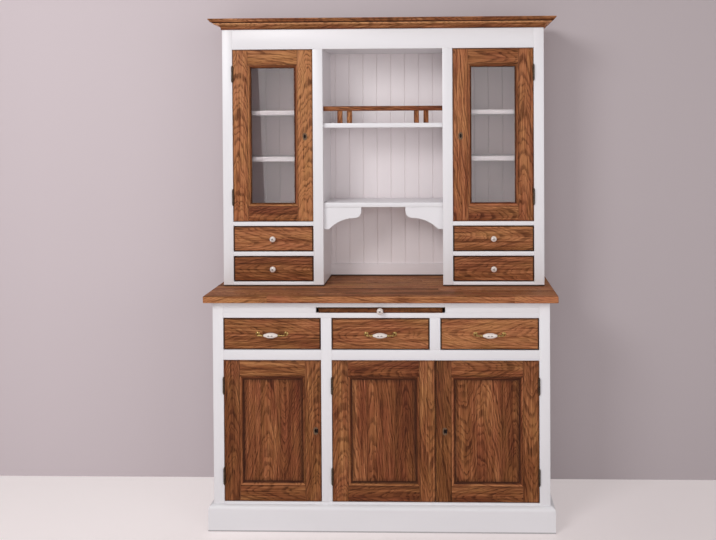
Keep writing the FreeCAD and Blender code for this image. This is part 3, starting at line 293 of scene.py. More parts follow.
def painted_material(name, tone, upright=False, own_boards=False, dark_above=None, foot=None, foot_shade=1.0):
    """White paint. A CAD piece reads its place in the cabinet, and a new board its own grain. It can turn
    dark above a level, a painted shade, and it can have a dark line just over its foot, a painted contact
    shadow."""
    made, tree = new_material(name)
    place = object_place(tree)
    level = axes_of(tree, place)[2]
    inputs = {"Place": turned_upright(tree, place) if upright else place, "Tone": tone}
    if own_boards:
        inputs.update(Place=attribute(tree, "grain"), Seed=attribute(tree, "board"))
    skin = add_node(tree, "Group", inputs, node_tree=brushed_paint).outputs
    colour = skin["Colour"]
    if dark_above is not None:
        # Dark above the level: a painted shade.
        colour = blend(tree, math_of(tree, "GREATER_THAN", level, dark_above), colour, SLOT_SHADE_DARK)
    if foot is not None:
        # A painted contact shadow: a dark line just over the foot.
        line = ramp(tree, level, foot + FOOT_LINE_TOP, foot + FOOT_LINE_FADED, foot_shade, 0.0)
        colour = blend(tree, line, colour, FOOT_LINE)
    brushed = raised(tree, skin["Height"], *PAINT_RELIEF)
    finish_material(tree, Base_Color=colour, Roughness=skin["Roughness"], Normal=brushed)
    return made


paint_level = painted_material("satin_paint_level", PAINT_TONE)
paint_upright = painted_material("satin_paint_upright", PAINT_TONE, upright=True)
paint_boards = painted_material("satin_paint_boards", PAINT_TONE, own_boards=True)


def dress(nodes, material):
    """Give carried-over CAD pieces one finish."""
    for name in nodes:
        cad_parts[name].data.materials.clear()
        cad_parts[name].data.materials.append(material)


def write_corners(mesh, **values):
    """Keep numbers on a mesh's face corners, one or three for each, where its material reads them."""
    for label, numbers in values.items():
        single = len(numbers) == len(mesh.loops)
        if label not in mesh.attributes:
            mesh.attributes.new(label, "FLOAT" if single else "FLOAT_VECTOR", "CORNER")
        mesh.attributes[label].data.foreach_set("value" if single else "vector", numbers)


def three_rolls():
    """What sets one board apart from the next."""
    return rolls.random(), rolls.random(), rolls.random()


def set_grain(piece, along, stain=0.5):
    """Keep each corner's place in its own board (along, across, through) and what sets that board apart."""
    mesh = piece.data
    corners = [vertex.co for vertex in mesh.vertices]
    low = Vector([min(point[axis] for point in corners) for axis in range(3)])
    high = Vector([max(point[axis] for point in corners) for axis in range(3)])
    centre, spans = (low + high) / 2, high - low
    others = sorted((axis for axis in range(3) if axis != along), key=lambda axis: -spans[axis])
    order = (along, *others)
    count = len(mesh.loops)
    write_corners(
        mesh, stain=[stain] * count, board=three_rolls() * count,
        reach=[spans[axis] / 2 for axis in order] * count,
        grain=[(corners[loop.vertex_index] - centre)[axis] for loop in mesh.loops for axis in order],
    )


def choose(*pieces):
    """Select these pieces alone, or nothing, and make the first of them active."""
    bpy.ops.object.select_all(action="DESELECT")
    for piece in pieces:
        piece.select_set(True)
    if pieces:
        bpy.context.view_layer.objects.active = pieces[0]


def fix_place():
    """Put the active piece's place, turn and size into its mesh."""
    bpy.ops.object.transform_apply(location=True, rotation=True, scale=True)
    return bpy.context.active_object


def new_block(low, high):
    """A plain block between two corners."""
    choose()
    bpy.ops.mesh.primitive_cube_add(size=1, location=[(a + b) / 2 for a, b in zip(low, high)])
    bpy.context.active_object.scale = [b - a for a, b in zip(low, high)]
    return fix_place()


def edit(kind="FACE", action="SELECT"):
    """Work on the active piece's faces or edges, with all of them selected or none."""
    bpy.ops.object.mode_set(mode="EDIT")
    bpy.ops.mesh.select_mode(type=kind)
    bpy.ops.mesh.select_all(action=action)


def leave_edit():
    """Back from a piece's faces and edges to the piece."""
    bpy.ops.object.mode_set(mode="OBJECT")


def pick(piece, kind, test):
    """Work on those faces that pass a test, or on those edges whose two ends pass it."""
    edit(kind, "DESELECT")
    leave_edit()
    mesh = piece.data
    for face in mesh.polygons if kind == "FACE" else ():
        face.select = test(face)
    for edge in mesh.edges if kind == "EDGE" else ():
        edge.select = test(*(mesh.vertices[index].co for index in edge.vertices))
    bpy.ops.object.mode_set(mode="EDIT")


def plain_board(low, high, ease, along, segments=2, long_only=False, stain=0.5):
    """A board between two corners, all its edges or just the long ones eased, its grain along one axis."""
    piece = new_block(low, high)
    pick(piece, "EDGE", lambda first, second: not long_only or abs((second - first)[along]) > LEAST_EDGE)
    bpy.ops.mesh.bevel(offset=ease, segments=segments, affect="EDGES")
    leave_edit()
    set_grain(piece, along, stain)
    return piece


def join_as(name, pieces, material, smooth=35):
    """One named piece from several boards."""
    choose(*pieces)
    if len(pieces) > 1:
        bpy.ops.object.join()
    whole = bpy.context.active_object
    whole.name = whole.data.name = name
    if material is not None:
        whole.data.materials.clear()
        whole.data.materials.append(material)
    bpy.ops.object.shade_smooth_by_angle(angle=math.radians(smooth))
    return whole


def member(x, y, z, along, ease=0.0009, stain=0.5):
    """A frame member or board between limits on X, Y and Z."""
    return plain_board(*zip(x, y, z), ease, along, stain=stain)


def hand(side, near, far):
    """Two X limits on the right, or the same pair on the left."""
    return (near, far) if side > 0 else (-far, -near)


# The plinth's paint darkens in a thin line at the floor, a painted contact shadow.
dress(["plinth_boards"], painted_material("satin_paint_plinth", PAINT_TONE, foot=-0.0003, foot_shade=0.5))
base_y = (BASE_FRONT, BASE_FRONT + FRAME_THICK)
base_x = (-BASE_OPENING_HALF, BASE_OPENING_HALF)
boards = [member(base_x, base_y, z, 0) for z in (SILL_RAIL, SLOT_RAIL, BASE_TOP_RAIL)] + [
    member(INNER_STILE, base_y, (SILL_RAIL[1], SLOT_RAIL[0]), 2),
    member(SHORT_STILE, base_y, (MIDDLE_RAIL[1], SLOT_RAIL[0]), 2),
    member((base_x[0], INNER_STILE[0]), base_y, MIDDLE_RAIL, 0),
    member((INNER_STILE[1], base_x[1]), base_y, MIDDLE_RAIL, 0),
]
for side in (-1, 1):
    stile_x, block_x = hand(side, BASE_OPENING_HALF, BODY_HALF), hand(side, SLOT_HALF, BASE_OPENING_HALF)
    boards.append(member(stile_x, base_y, (0, BASE_TOP_RAIL[1]), 2))
    boards.append(member(block_x, base_y, (SLOT_RAIL[1], BASE_TOP_RAIL[0]), 0))
base_frame = join_as("base_frame_boards", boards, paint_boards)
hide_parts("base_face_frame")
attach(base_frame, "cabinet")

# Base carcass: sides, partition and decks are painted boards behind the frame, the back a thin panel.
# The deck under the serving board is painted dark, a painted shade inside the slot, and the guides and
# kickers are bare softwood strips.
INSIDE_TONE = (0.76, 0.745, 0.755, 1)
DARK_DECK_LEVEL = 0.87
BASE_BACK_WIDTH, BASE_BACK_JOINT = 0.36, 0.18
paint_inside = painted_material("satin_paint_inside", INSIDE_TONE)
# Above the level the deck is dark, a painted shade inside the slot under the worktop.
paint_decks = painted_material("satin_paint_decks", INSIDE_TONE, dark_above=DARK_DECK_LEVEL)
dress(["base_uprights"], paint_upright)
dress(["base_decks"], paint_decks)
dress(["hutch_decks"], paint_inside)


def nearest_edge(tree, place, reach):
    """How far a point lies inside the nearer edge of its face, along or across."""
    pairs = list(zip(axes_of(tree, place), axes_of(tree, reach)))[:2]
    return math_of(tree, "MINIMUM", *(
        math_of(tree, "SUBTRACT", half, math_of(tree, "ABSOLUTE", point)) for point, half in pairs
    ))


def colour_ramp(tree, value, stops, interpolation="LINEAR"):
    """Colours, or greys given as numbers, by a value from 0 to 1."""
    made = add_node(tree, "ValToRGB", {0: value})
    made.color_ramp.interpolation = interpolation
    elements = made.color_ramp.elements
    for position, colour in stops:
        stop = {0.0: elements[0], 1.0: elements[-1]}.get(position) or elements.new(position)
        stop.color = (colour, colour, colour, 1) if isinstance(colour, float) else colour
    return made.outputs[0]


wood_figure, inside, outside = group_tree("wood_figure", {
    "Place": "Vector", "Board": "Vector", "Reach": "Vector", "Stain": 0.5, "Ring": 0.006,
    "Line strength": 0.8, "Pore strength": 0.6, "Contrast": 1.0,
}, ("Tone", "Lines", "Pores", "Edge", "Hue", "Height"))
seed = scaled(wood_figure, inside["Board"], 43.0)
here = axes_of(wood_figure, inside["Place"])
roll = axes_of(wood_figure, inside["Board"])


def reckon(operation, *values):
    """A step of arithmetic in the figure, which is cut from a log: rings about a pith that lies under the
    board and leans along it."""
    return math_of(wood_figure, operation, *values)


def figure_noise(stretch, detail, roughness=0.5):
    """Noise along the board's grain."""
    return stretched_noise(wood_figure, inside["Place"], seed, stretch, detail, roughness)


slow = reckon("SUBTRACT", figure_noise((2.2, 9, 9), 2), 0.5)
wavy = reckon("SUBTRACT", figure_noise((13, 58, 58), 3, 0.6), 0.5)
across = reckon("SUBTRACT", here[1], reckon("MULTIPLY_ADD", roll[0], 0.09, -0.045))
through = reckon("SUBTRACT", here[2], reckon("MULTIPLY_ADD", roll[1], 0.03, 0.011))
squares = reckon("MULTIPLY_ADD", across, across, reckon("MULTIPLY", through, through))
lean = reckon("MULTIPLY_ADD", reckon("ROUND", roll[2]), 0.36, -0.18)
lean = reckon("MULTIPLY_ADD", roll[0], 0.16, reckon("SUBTRACT", lean, 0.08))
radius = reckon("MULTIPLY_ADD", here[0], lean, reckon("SQRT", squares))
radius = reckon("MULTIPLY_ADD", slow, 0.05, radius)
radius = reckon("MULTIPLY_ADD", wavy, 0.012, radius)
rings = reckon("DIVIDE", radius, inside["Ring"])
years = add_node(wood_figure, "TexNoise", {"W": rings, "Scale": 0.37, "Detail": 1}, noise_dimensions="1D")
rings = reckon("MULTIPLY_ADD", years.outputs["Fac"], 3.0, rings)
year = add_node(wood_figure, "TexWhiteNoise", {"W": reckon("FLOOR", rings)}, noise_dimensions="1D")
band = ((0.0, 1.0), (0.2, 0.8), (0.36, 0.12), (0.84, 0.0), (1.0, 0.9))
lines = colour_ramp(wood_figure, reckon("FRACT", rings), band, "EASE")
lines = reckon("MULTIPLY", lines, reckon("MULTIPLY_ADD", year.outputs["Value"], 0.45, 0.55))
broken = figure_noise((12, 210, 210), 3, 0.65)
lines = reckon("MULTIPLY", lines, ramp(wood_figure, broken, 0.36, 0.58, 0.25, 1.0))
dashes = ramp(wood_figure, figure_noise((38, 800, 800), 2), 0.52, 0.64)
spots = reckon("MULTIPLY", dashes, reckon("MULTIPLY_ADD", lines, 0.6, 0.4))
tone = reckon("MULTIPLY_ADD", roll[1], 0.2, -0.1)
for along, across, weight in ((1.8, 44, 0.6), (4, 125, 1.1), (11, 300, 1.4), (4, 13, 0.6)):
    streaks = reckon("SUBTRACT", figure_noise((along, across, across), 2), 0.5)
    tone = reckon("MULTIPLY_ADD", streaks, weight, tone)
tone = reckon("MULTIPLY_ADD", tone, inside["Contrast"], inside["Stain"])
hue = reckon("MULTIPLY_ADD", figure_noise((6, 22, 22), 2), 0.03, 0.485)
hue = reckon("MULTIPLY_ADD", roll[0], 0.008, reckon("SUBTRACT", hue, 0.004))
nearest = nearest_edge(wood_figure, inside["Place"], inside["Reach"])
# Darker near a face's edges: stain on the eased edge, and a painted shade of the gap beside it.
edge = ramp(wood_figure, reckon("MULTIPLY_ADD", broken, -0.002, nearest), 0.0012, 0.0056, 1.0, 0.0)
put_out(
    wood_figure, outside, Hue=hue, Tone=add_node(wood_figure, "Clamp", {0: tone}).outputs[0],
    Lines=reckon("MULTIPLY", lines, inside["Line strength"]),
    Pores=reckon("MULTIPLY", spots, inside["Pore strength"]),
    Edge=reckon("MULTIPLY", edge, reckon("GREATER_THAN", nearest, 0.0003)),
    Height=reckon("SUBTRACT", 1.0, reckon("ADD", spots, reckon("MULTIPLY", lines, 0.45))),
)


def panel_shade_by_moulding(tree):
    """How near a panel's surface is to the moulding round it, 0 to 1: a painted shade, soft and wide, with a
    narrow dark line right at the moulding.
    """
    nook = attribute(tree, "nook")
    nearest = nearest_edge(tree, nook, attribute(tree, "clear"))
    uneven = math_of(tree, "MULTIPLY_ADD", noise(tree, nook, 45.0, 3), -0.012, nearest)
    soft_shade = ramp(tree, uneven, -0.006, 0.012, 0.55, 0.0)
    return math_of(tree, "MAXIMUM", soft_shade, ramp(tree, nearest, 0.0022, 0.0038, 0.8, 0.0))


def wood_colour(tree, figure, tones, edges):
    """The body from dark to light, multiplied by its lines and pores, and mixed at the edges with a dark tone
    that is stain and a painted shade of the gaps round each piece.
    """
    body = colour_ramp(tree, figure["Tone"], tuple(zip((0.0, 0.36, 0.64, 1.0), tones)))
    shade = add_node(tree, "HueSaturation", {"Hue": figure["Hue"], "Color": body})
    shade = blend(tree, figure["Lines"], shade, tones[4], "MULTIPLY")
    shade = blend(tree, figure["Pores"], shade, tones[4], "MULTIPLY")
    return blend(tree, math_of(tree, "MULTIPLY", figure["Edge"], edges), shade, tones[5])


def wood_material(
    name, tones, ring, lines, pores, contrast, gloss, relief, own_boards=True, edges=0.0, panel=False
):
    """Wood with its own figure. Tones are the body from dark to light, what the lines leave of it, and
    the dark edge, stain with a painted shade of the gaps round each piece."""
    made, tree = new_material(name)
    inputs = {"Ring": ring, "Line strength": lines, "Pore strength": pores, "Contrast": contrast}
    if own_boards:
        inputs.update(
            Place=attribute(tree, "grain"), Board=attribute(tree, "board"), Reach=attribute(tree, "reach"),
            Stain=attribute(tree, "stain", "Fac"),
        )
    else:
        inputs["Place"] = object_place(tree)
    figure = add_node(tree, "Group", inputs, node_tree=wood_figure).outputs
    shade = wood_colour(tree, figure, tones, edges)
    if panel:
        shade = blend(tree, panel_shade_by_moulding(tree), shade, tones[5])
    finish_material(
        tree, Base_Color=shade, Roughness=ramp(tree, figure["Lines"], 0.0, 1.0, gloss, gloss + 0.2),
        Normal=raised(tree, figure["Height"], 0.5, relief), Specular_IOR_Level=0.14,
    )
    return made


pine_tones = (
    (0.46, 0.27, 0.13, 1), (0.54, 0.33, 0.17, 1), (0.60, 0.39, 0.21, 1), (0.68, 0.46, 0.26, 1),
    (0.65, 0.50, 0.38, 1), (0.30, 0.16, 0.07, 1),
)
pine = wood_material("bare_pine", pine_tones, 0.005, 0.6, 0.1, 0.6, 0.55, 0.0001, edges=0.15)
pine_strips = wood_material("bare_pine_strips", pine_tones, 0.005, 0.5, 0.1, 0.6, 0.55, 0.0001, False)
dress(["drawer_guides"], pine_strips)


def pine_backed(name, tone, back, board_width, first_joint, cupboards=None):
    """Paint on the face of upright boards, darker inside the cupboards beyond a distance from the middle
    if that is given, a painted shade of the closed cupboards, and bare softwood on their backs, each board
    with its own figure."""
    made, tree = new_material(name)
    place = object_place(tree)
    here = axes_of(tree, place)
    skin = add_node(
        tree, "Group", {"Place": turned_upright(tree, place), "Tone": tone}, node_tree=brushed_paint
    ).outputs
    from_joint = math_of(tree, "SUBTRACT", here[0], first_joint)
    number = math_of(tree, "FLOOR", math_of(tree, "DIVIDE", from_joint, board_width))
    middle = math_of(tree, "MULTIPLY_ADD", number, board_width, board_width / 2)
    across, through = math_of(tree, "SUBTRACT", from_joint, middle), math_of(tree, "SUBTRACT", here[1], back)
    own_place = add_node(tree, "CombineXYZ", {0: here[2], 1: across, 2: through})
    board = add_node(tree, "TexWhiteNoise", {"W": number}, noise_dimensions="1D").outputs["Color"]
    figure = add_node(tree, "Group", {
        "Place": own_place, "Board": board, "Reach": (9, board_width / 2, 9), "Stain": 0.45, "Ring": 0.006,
        "Line strength": 0.7, "Pore strength": 0.1, "Contrast": 0.7,
    }, node_tree=wood_figure).outputs
    paint = skin["Colour"]
    if cupboards:
        # Inside the cupboards the paint is darker: a painted shade.
        closed_in = math_of(tree, "GREATER_THAN", math_of(tree, "ABSOLUTE", here[0]), cupboards[0])
        paint = blend(tree, closed_in, paint, cupboards[1], "MULTIPLY")
    bare = math_of(tree, "GREATER_THAN", here[1], back - 0.0005)
    finish_material(
        tree, Base_Color=blend(tree, bare, paint, wood_colour(tree, figure, pine_tones, 0.5)),
        Roughness=math_of(tree, "MULTIPLY_ADD", bare, 0.2, skin["Roughness"]),
        Normal=raised(tree, skin["Height"], *PAINT_RELIEF),
    )
    return made


dress(["base_back_panel"], pine_backed(
    "panel_paint_and_pine", INSIDE_TONE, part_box("base_back_panel")[1].y, BASE_BACK_WIDTH, BASE_BACK_JOINT
))

# Worktop: oak staves glued side by side and end to end, stained brown, brushed and waxed.
# The slab overhangs the base at the front and both ends, and its edges are rounded.
STAVE_ROWS = 11
WORKTOP_ROUND = 0.0028
TOUCHING = 0.00001
oak_tones = (
    (0.070, 0.019, 0.006, 1), (0.155, 0.047, 0.014, 1), (0.275, 0.093, 0.032, 1), (0.50, 0.205, 0.082, 1),
    (0.20, 0.135, 0.10, 1), (0.020, 0.007, 0.003, 1),
)
# The edges number sets how dark each oak goes at its edges: stain, and a painted shade of the gaps round the
# piece.
oak = wood_material("brown_oak", oak_tones, 0.0070, 0.9, 0.7, 0.8, 0.5, 0.0004, edges=0.35)
oak_front = wood_material("drawer_front_oak", oak_tones, 0.0072, 0.8, 0.6, 0.95, 0.5, 0.0004, edges=0.95)
oak_staves = wood_material("worktop_oak", oak_tones, 0.0066, 0.8, 0.6, 1.2, 0.55, 0.0003, edges=0.2)
oak_panel = wood_material("panel_oak", oak_tones, 0.0066, 0.92, 0.7, 0.75, 0.5, 0.0004, True, 0.15, True)
low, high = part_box("worktop")
row_width = (high.y - low.y) / STAVE_ROWS


def on_the_outside(first, second):
    """Whether a stave's edge lies along the slab's front or either end, or upright at a front corner."""
    at_front = max(first.y, second.y) < low.y + TOUCHING
    at_end = min(first.x, second.x) > high.x - TOUCHING or max(first.x, second.x) < low.x + TOUCHING
    upright = abs(first.z - second.z) > LEAST_EDGE
    return (at_front and at_end) if upright else (at_front or at_end)


staves = []
for row in range(STAVE_ROWS):
    shares = (0.12 + 0.3 * rolls.random(), 0.55 + 0.33 * rolls.random())
    ends = [low.x, *(low.x + (high.x - low.x) * share for share in shares), high.x]
    near, far = low.y + row * row_width, low.y + (row + 1) * row_width
    for start, stop in zip(ends, ends[1:]):
        stave = new_block((start, near, low.z), (stop, far, high.z))
        pick(stave, "EDGE", on_the_outside)
        bpy.ops.mesh.bevel(offset=WORKTOP_ROUND, segments=3, affect="EDGES")
        leave_edit()
        set_grain(stave, 0, 0.66 + 0.54 * rolls.random())
        staves.append(stave)
worktop = join_as("worktop_staves", staves, oak_staves)
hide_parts("worktop")
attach(worktop, "cabinet")

# Base doors: stiles and rails of the same oak, four planted mouldings mitred at the corners, and a
# flat panel of glued boards in a groove. Each turns on two dark bronzed butt hinges.
DOOR_MEMBER = 0.066
MOULDING = (
    (0.0, 0.0072), (0.0012, 0.008), (0.0035, 0.008), (0.0044, 0.0066), (0.0075, 0.0058),
    (0.0102, 0.0042), (0.0118, 0.0030), (0.014, 0.0026), (0.014, 0.0),
)
# Painted light and shade on the mouldings by distance from the opening: a dark line at the outer joint, a
# lighter ridge, a dark nook by the panel, and the ridge lighter or darker by side, as lit from the upper
# left.
MOULDING_LIGHT_AND_SHADE = (
    (-1, -0.4), (0.0004, -0.1), (0.0011, 0.2), (0.0036, 0.0), (0.0062, 0.0), (0.0085, -0.3), (0.0105, -0.5),
)
RIDGE_WIDTH = 0.0085
RIDGE_LIGHT_BY_SIDE = {"left": 0.15, "right": 0.0, "low": 0.3, "high": -0.25}
NO_EDGE = (9, 9, 9)
KEYHOLE_RADIUS, KEY_SLOT_WIDTH, KEY_SLOT_DROP = 0.0034, 0.0028, 0.009
BASE_DOORS = (
    ("base_door_left", (-0.272, 0.418), (0.32, 0.61)),
    ("base_door_middle", None, (0.27, 0.66)),
    ("base_door_right", (0.265, 0.418), (0.36, 0.7)),
)


def painted_light_band(place, bands):
    """The tone of the last band that a place has passed: painted light or shade."""
    return [tone for limit, tone in bands if place > limit][-1]


def draw_out(x, y, z):
    """Extrude the selected faces."""
    bpy.ops.mesh.extrude_region_move(TRANSFORM_OT_translate={"value": (x, y, z)})


def face_outwards():
    """Turn all faces of a closed shape outwards, and leave edit mode."""
    bpy.ops.mesh.select_all(action="SELECT")
    bpy.ops.mesh.normals_make_consistent(inside=False)
    leave_edit()


def moulding_ring(x, z, seat, facing, stain, height_share=1.0):
    """A planted moulding round an opening, its section drawn by insets from the opening's edge."""
    middle_x, middle_z = sum(x) / 2, sum(z) / 2
    choose()
    bpy.ops.mesh.primitive_plane_add(
        size=1, location=(middle_x, seat, middle_z), rotation=(math.radians(90), 0, 0)
    )
    bpy.context.active_object.scale = (x[1] - x[0], z[1] - z[0], 1)
    ring = fix_place()
    edit()
    if facing > 0:
        bpy.ops.mesh.flip_normals()
    draw_out(0, MOULDING[0][1] * height_share * facing, 0)
    for (u0, v0), (u1, v1) in zip(MOULDING, MOULDING[1:]):
        rise = (v1 - v0) * height_share
        if u1 > u0:
            bpy.ops.mesh.inset(thickness=u1 - u0, depth=rise, use_even_offset=True)
        else:
            draw_out(0, rise * facing, 0)
    leave_edit()
    pick(ring, "FACE", lambda face: abs(face.center.y - seat) < TOUCHING)
    bpy.ops.mesh.delete(type="FACE")
    edit("EDGE", "DESELECT")
    bpy.ops.mesh.select_non_manifold()
    bpy.ops.mesh.bridge_edge_loops()
    face_outwards()
    mesh = ring.data
    strips = {side: three_rolls() for side in ("left", "right", "low", "high")}
    grain, board, tones_with_light = [], [], []
    for polygon in mesh.polygons:
        centre = polygon.center
        ways = {"left": centre.x - x[0], "right": x[1] - centre.x}
        ways.update(low=centre.z - z[0], high=z[1] - centre.z)
        side = min(ways, key=ways.get)
        nearest, upright = ways[side], side in ("left", "right")
        # Painted light and shade: the band by distance, and the ridge by side.
        lit_tone = painted_light_band(nearest, MOULDING_LIGHT_AND_SHADE) + (RIDGE_LIGHT_BY_SIDE[side] if nearest < RIDGE_WIDTH else 0.0)
        for index in polygon.loop_indices:
            point = mesh.vertices[mesh.loops[index].vertex_index].co
            grain += (point.z - middle_z, point.x) if upright else (point.x - middle_x, point.z)
            grain.append(point.y)
            board += strips[side]
            tones_with_light.append(stain + lit_tone)
    write_corners(mesh, grain=grain, board=board, reach=NO_EDGE * len(mesh.loops), stain=tones_with_light)
    return ring


def cut_keyhole(stile, x, z, front, depth):
    """A round hole over a slot, cut right through a stile."""
    choose()
    bpy.ops.mesh.primitive_cylinder_add(
        vertices=32, radius=KEYHOLE_RADIUS, depth=depth * 2, location=(x, front + depth / 2, z),
        rotation=(math.radians(90), 0, 0),
    )
    eye = bpy.context.active_object
    half = KEY_SLOT_WIDTH / 2
    slot = new_block((x - half, front - depth / 2, z - KEY_SLOT_DROP), (x + half, front + depth * 1.5, z))
    for tool in (eye, slot):
        hole = stile.modifiers.new("keyhole", "BOOLEAN")
        hole.operation, hole.object, hole.solver = "DIFFERENCE", tool, "EXACT"
        bpy.context.view_layer.objects.active = stile
        bpy.ops.object.modifier_apply(modifier=hole.name)
        bpy.data.objects.remove(tool)


def door_frame(node, keyhole, stain, low_rail=0.0, top_rail=0.0):
    """Stiles and rails of one door, where the CAD frame stands. Returns its pieces and clear opening."""
    low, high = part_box(node)
    y = (low.y, high.y)
    clear_x = (low.x + DOOR_MEMBER, high.x - DOOR_MEMBER)
    clear_z = (low.z + DOOR_MEMBER, high.z - DOOR_MEMBER)
    tones = [stain + 0.2 * (rolls.random() - 0.5) for _ in range(4)]
    left_stile, right_stile, *rails = (
        member(x, y, z, along, 0.0007, tone) for x, z, along, tone in (
            ((low.x, clear_x[0]), (low.z, high.z), 2, tones[0]),
            ((clear_x[1], high.x), (low.z, high.z), 2, tones[1]),
            (clear_x, (low.z, clear_z[0]), 0, tones[2] + low_rail),
            (clear_x, (clear_z[1], high.z), 0, tones[3] + top_rail),
        )
    )
    if keyhole:
        stile = right_stile if keyhole[0] > clear_x[1] else left_stile
        cut_keyhole(stile, keyhole[0], keyhole[1], low.y, high.y - low.y)
    for rail in rails:
        write_corners(rail.data, reach=(9, DOOR_MEMBER / 2, 9) * len(rail.data.loops))
    return [left_stile, right_stile, *rails], clear_x, clear_z


def grooved_panel(node, shares, clear_x, clear_z):
    """A door panel glued up from a few boards, each with its own figure."""
    low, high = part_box(node)
    edges = [low.x, *(low.x + (high.x - low.x) * share for share in shares), high.x]
    boards = []
    for start, stop in zip(edges, edges[1:]):
        stain = 0.5 + 0.16 * rolls.random()
        boards.append(plain_board((start, low.y, low.z), (stop, high.y, high.z), 0.0002, 2, 1, stain=stain))
    middle_x, middle_z = sum(clear_x) / 2, sum(clear_z) / 2
    moulding_width = MOULDING[-1][0]
    half = (clear_x[1] - middle_x - moulding_width, clear_z[1] - middle_z - moulding_width, 0)
    for board in boards:
        mesh = board.data
        nooks = []
        for loop in mesh.loops:
            point = mesh.vertices[loop.vertex_index].co
            nooks += (point.x - middle_x, point.z - middle_z, 0)
        write_corners(mesh, nook=nooks, clear=half * len(mesh.loops))
    return boards


for name, keyhole, shares in BASE_DOORS:
    boards, clear_x, clear_z = door_frame(name + "_frame", keyhole, 0.58)
    boards.append(moulding_ring(clear_x, clear_z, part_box(name + "_panel")[0].y, -1, 0.5))
    door = join_as(name + "_joinery", boards, oak)
    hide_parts(name + "_frame")
    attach(door, name)
    boards = grooved_panel(name + "_panel", shares, clear_x, clear_z)
    panel = join_as(name + "_panel_boards", boards, oak_panel)
    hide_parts(name + "_panel")
    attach(panel, name)

# Hinges, locks and slide bolt: pressed steel, bronzed nearly black and rubbed brighter in patches.
# The butt hinges are let in and pinned, and an oval plate covers each keyhole.
KEYHOLE_PLATES = ((0.272, 0.414), (0.265, 0.414), (0.3395, 1.636))
# The second, darker oval round each keyhole is a painted shade of the hole.
PLATE_TONE_AND_KEYHOLE_SHADE = ((0.014, 0.030, 0.9, (0.15, 0.088, 0.050, 1)), (0.0056, 0.0100, 0.6, (0.006, 0.004, 0.004, 1)))
metal_skin, inside, outside = group_tree(
    "metal_skin",
    {"Place": "Vector", "Bare": "Color", "Tarnished": "Color", "Scale": 60.0, "Gloss": 0.3, "Spread": 0.2},
    ("Colour", "Roughness", "Height"),
)
cloud = noise(metal_skin, inside["Place"], inside["Scale"], 4, 0.6)
put_out(
    metal_skin, outside,
    Colour=blend(metal_skin, ramp(metal_skin, cloud, 0.38, 0.64), inside["Bare"], inside["Tarnished"]),
    Roughness=math_of(metal_skin, "MULTIPLY_ADD", cloud, inside["Spread"], inside["Gloss"]),
    Height=noise(metal_skin, inside["Place"], 900, 2),
)


def plate_ovals(tree, place, colour):
    """A paler oval in the plate's own colour and a darker one round the keyhole, a painted shade of the hole,
    over the colour on each keyhole's plate.
    """
    here = axes_of(tree, place)
    across = math_of(tree, "ABSOLUTE", here[0])
    for reach_x, reach_z, fade, tone in PLATE_TONE_AND_KEYHOLE_SHADE:
        near = 0.0
        for x, z in KEYHOLE_PLATES:
            beside = math_of(tree, "DIVIDE", math_of(tree, "SUBTRACT", across, x), reach_x)
            above = math_of(tree, "DIVIDE", math_of(tree, "SUBTRACT", here[2], z), reach_z)
            squares = math_of(tree, "MULTIPLY_ADD", beside, beside, math_of(tree, "MULTIPLY", above, above))
            near = math_of(tree, "MAXIMUM", ramp(tree, squares, fade, 1.0, 1.0, 0.0), near)
        colour = blend(tree, near, colour, tone)
    return colour


def metal_material(
    name, bare, tarnished, scale, gloss, spread, relief, metallic=1.0, specular=0.5, plates=False
):
    """Metal that is brighter where it is handled."""
    made, tree = new_material(name)
    place = object_place(tree)
    inputs = {"Place": place, "Bare": bare, "Tarnished": tarnished, "Scale": scale, "Gloss": gloss}
    skin = add_node(tree, "Group", {**inputs, "Spread": spread}, node_tree=metal_skin).outputs
    colour = plate_ovals(tree, place, skin["Colour"]) if plates else skin["Colour"]
    finish_material(
        tree, Base_Color=colour, Roughness=skin["Roughness"], Metallic=metallic, Specular_IOR_Level=specular,
        Normal=raised(tree, skin["Height"], 0.4, relief),
    )
    return made


bronze = metal_material(
    "dark_bronze", (0.10, 0.07, 0.045, 1), (0.028, 0.021, 0.017, 1), 120, 0.36, 0.3, 0.0001, 0.4, 0.25, True
)
steel = metal_material("bolt_steel", (0.55, 0.55, 0.56, 1), (0.36, 0.355, 0.35, 1), 90, 0.22, 0.25, 0.00005)
dress(["frame_hinge_leaves"], bronze)
for name in (*(door[0] for door in BASE_DOORS), "glazed_door_left", "glazed_door_right"):
    dress([name + "_fittings"], bronze)
    dress([name + "_bolt"], steel)

# Base drawers: an oak front with rounded edges, lapped over a softwood box of three boards.
# The front clears the deck that the box's sides run on, and a thin bottom is let in between them.
DRAWER_FRONT_THICK, DRAWER_SIDE_THICK = 0.020, 0.012
DRAWER_FRONT_LIFT = 0.0017
DRAWER_BOTTOM = (0.008, 0.014)
DRAWER_GAP_BELOW, DRAWER_GAP_ABOVE = 0.0003, 0.002
BASE_SIDE_HEIGHT, BASE_BOX_LENGTH, BASE_FRONT_ROUND = 0.105, 0.390, 0.0028


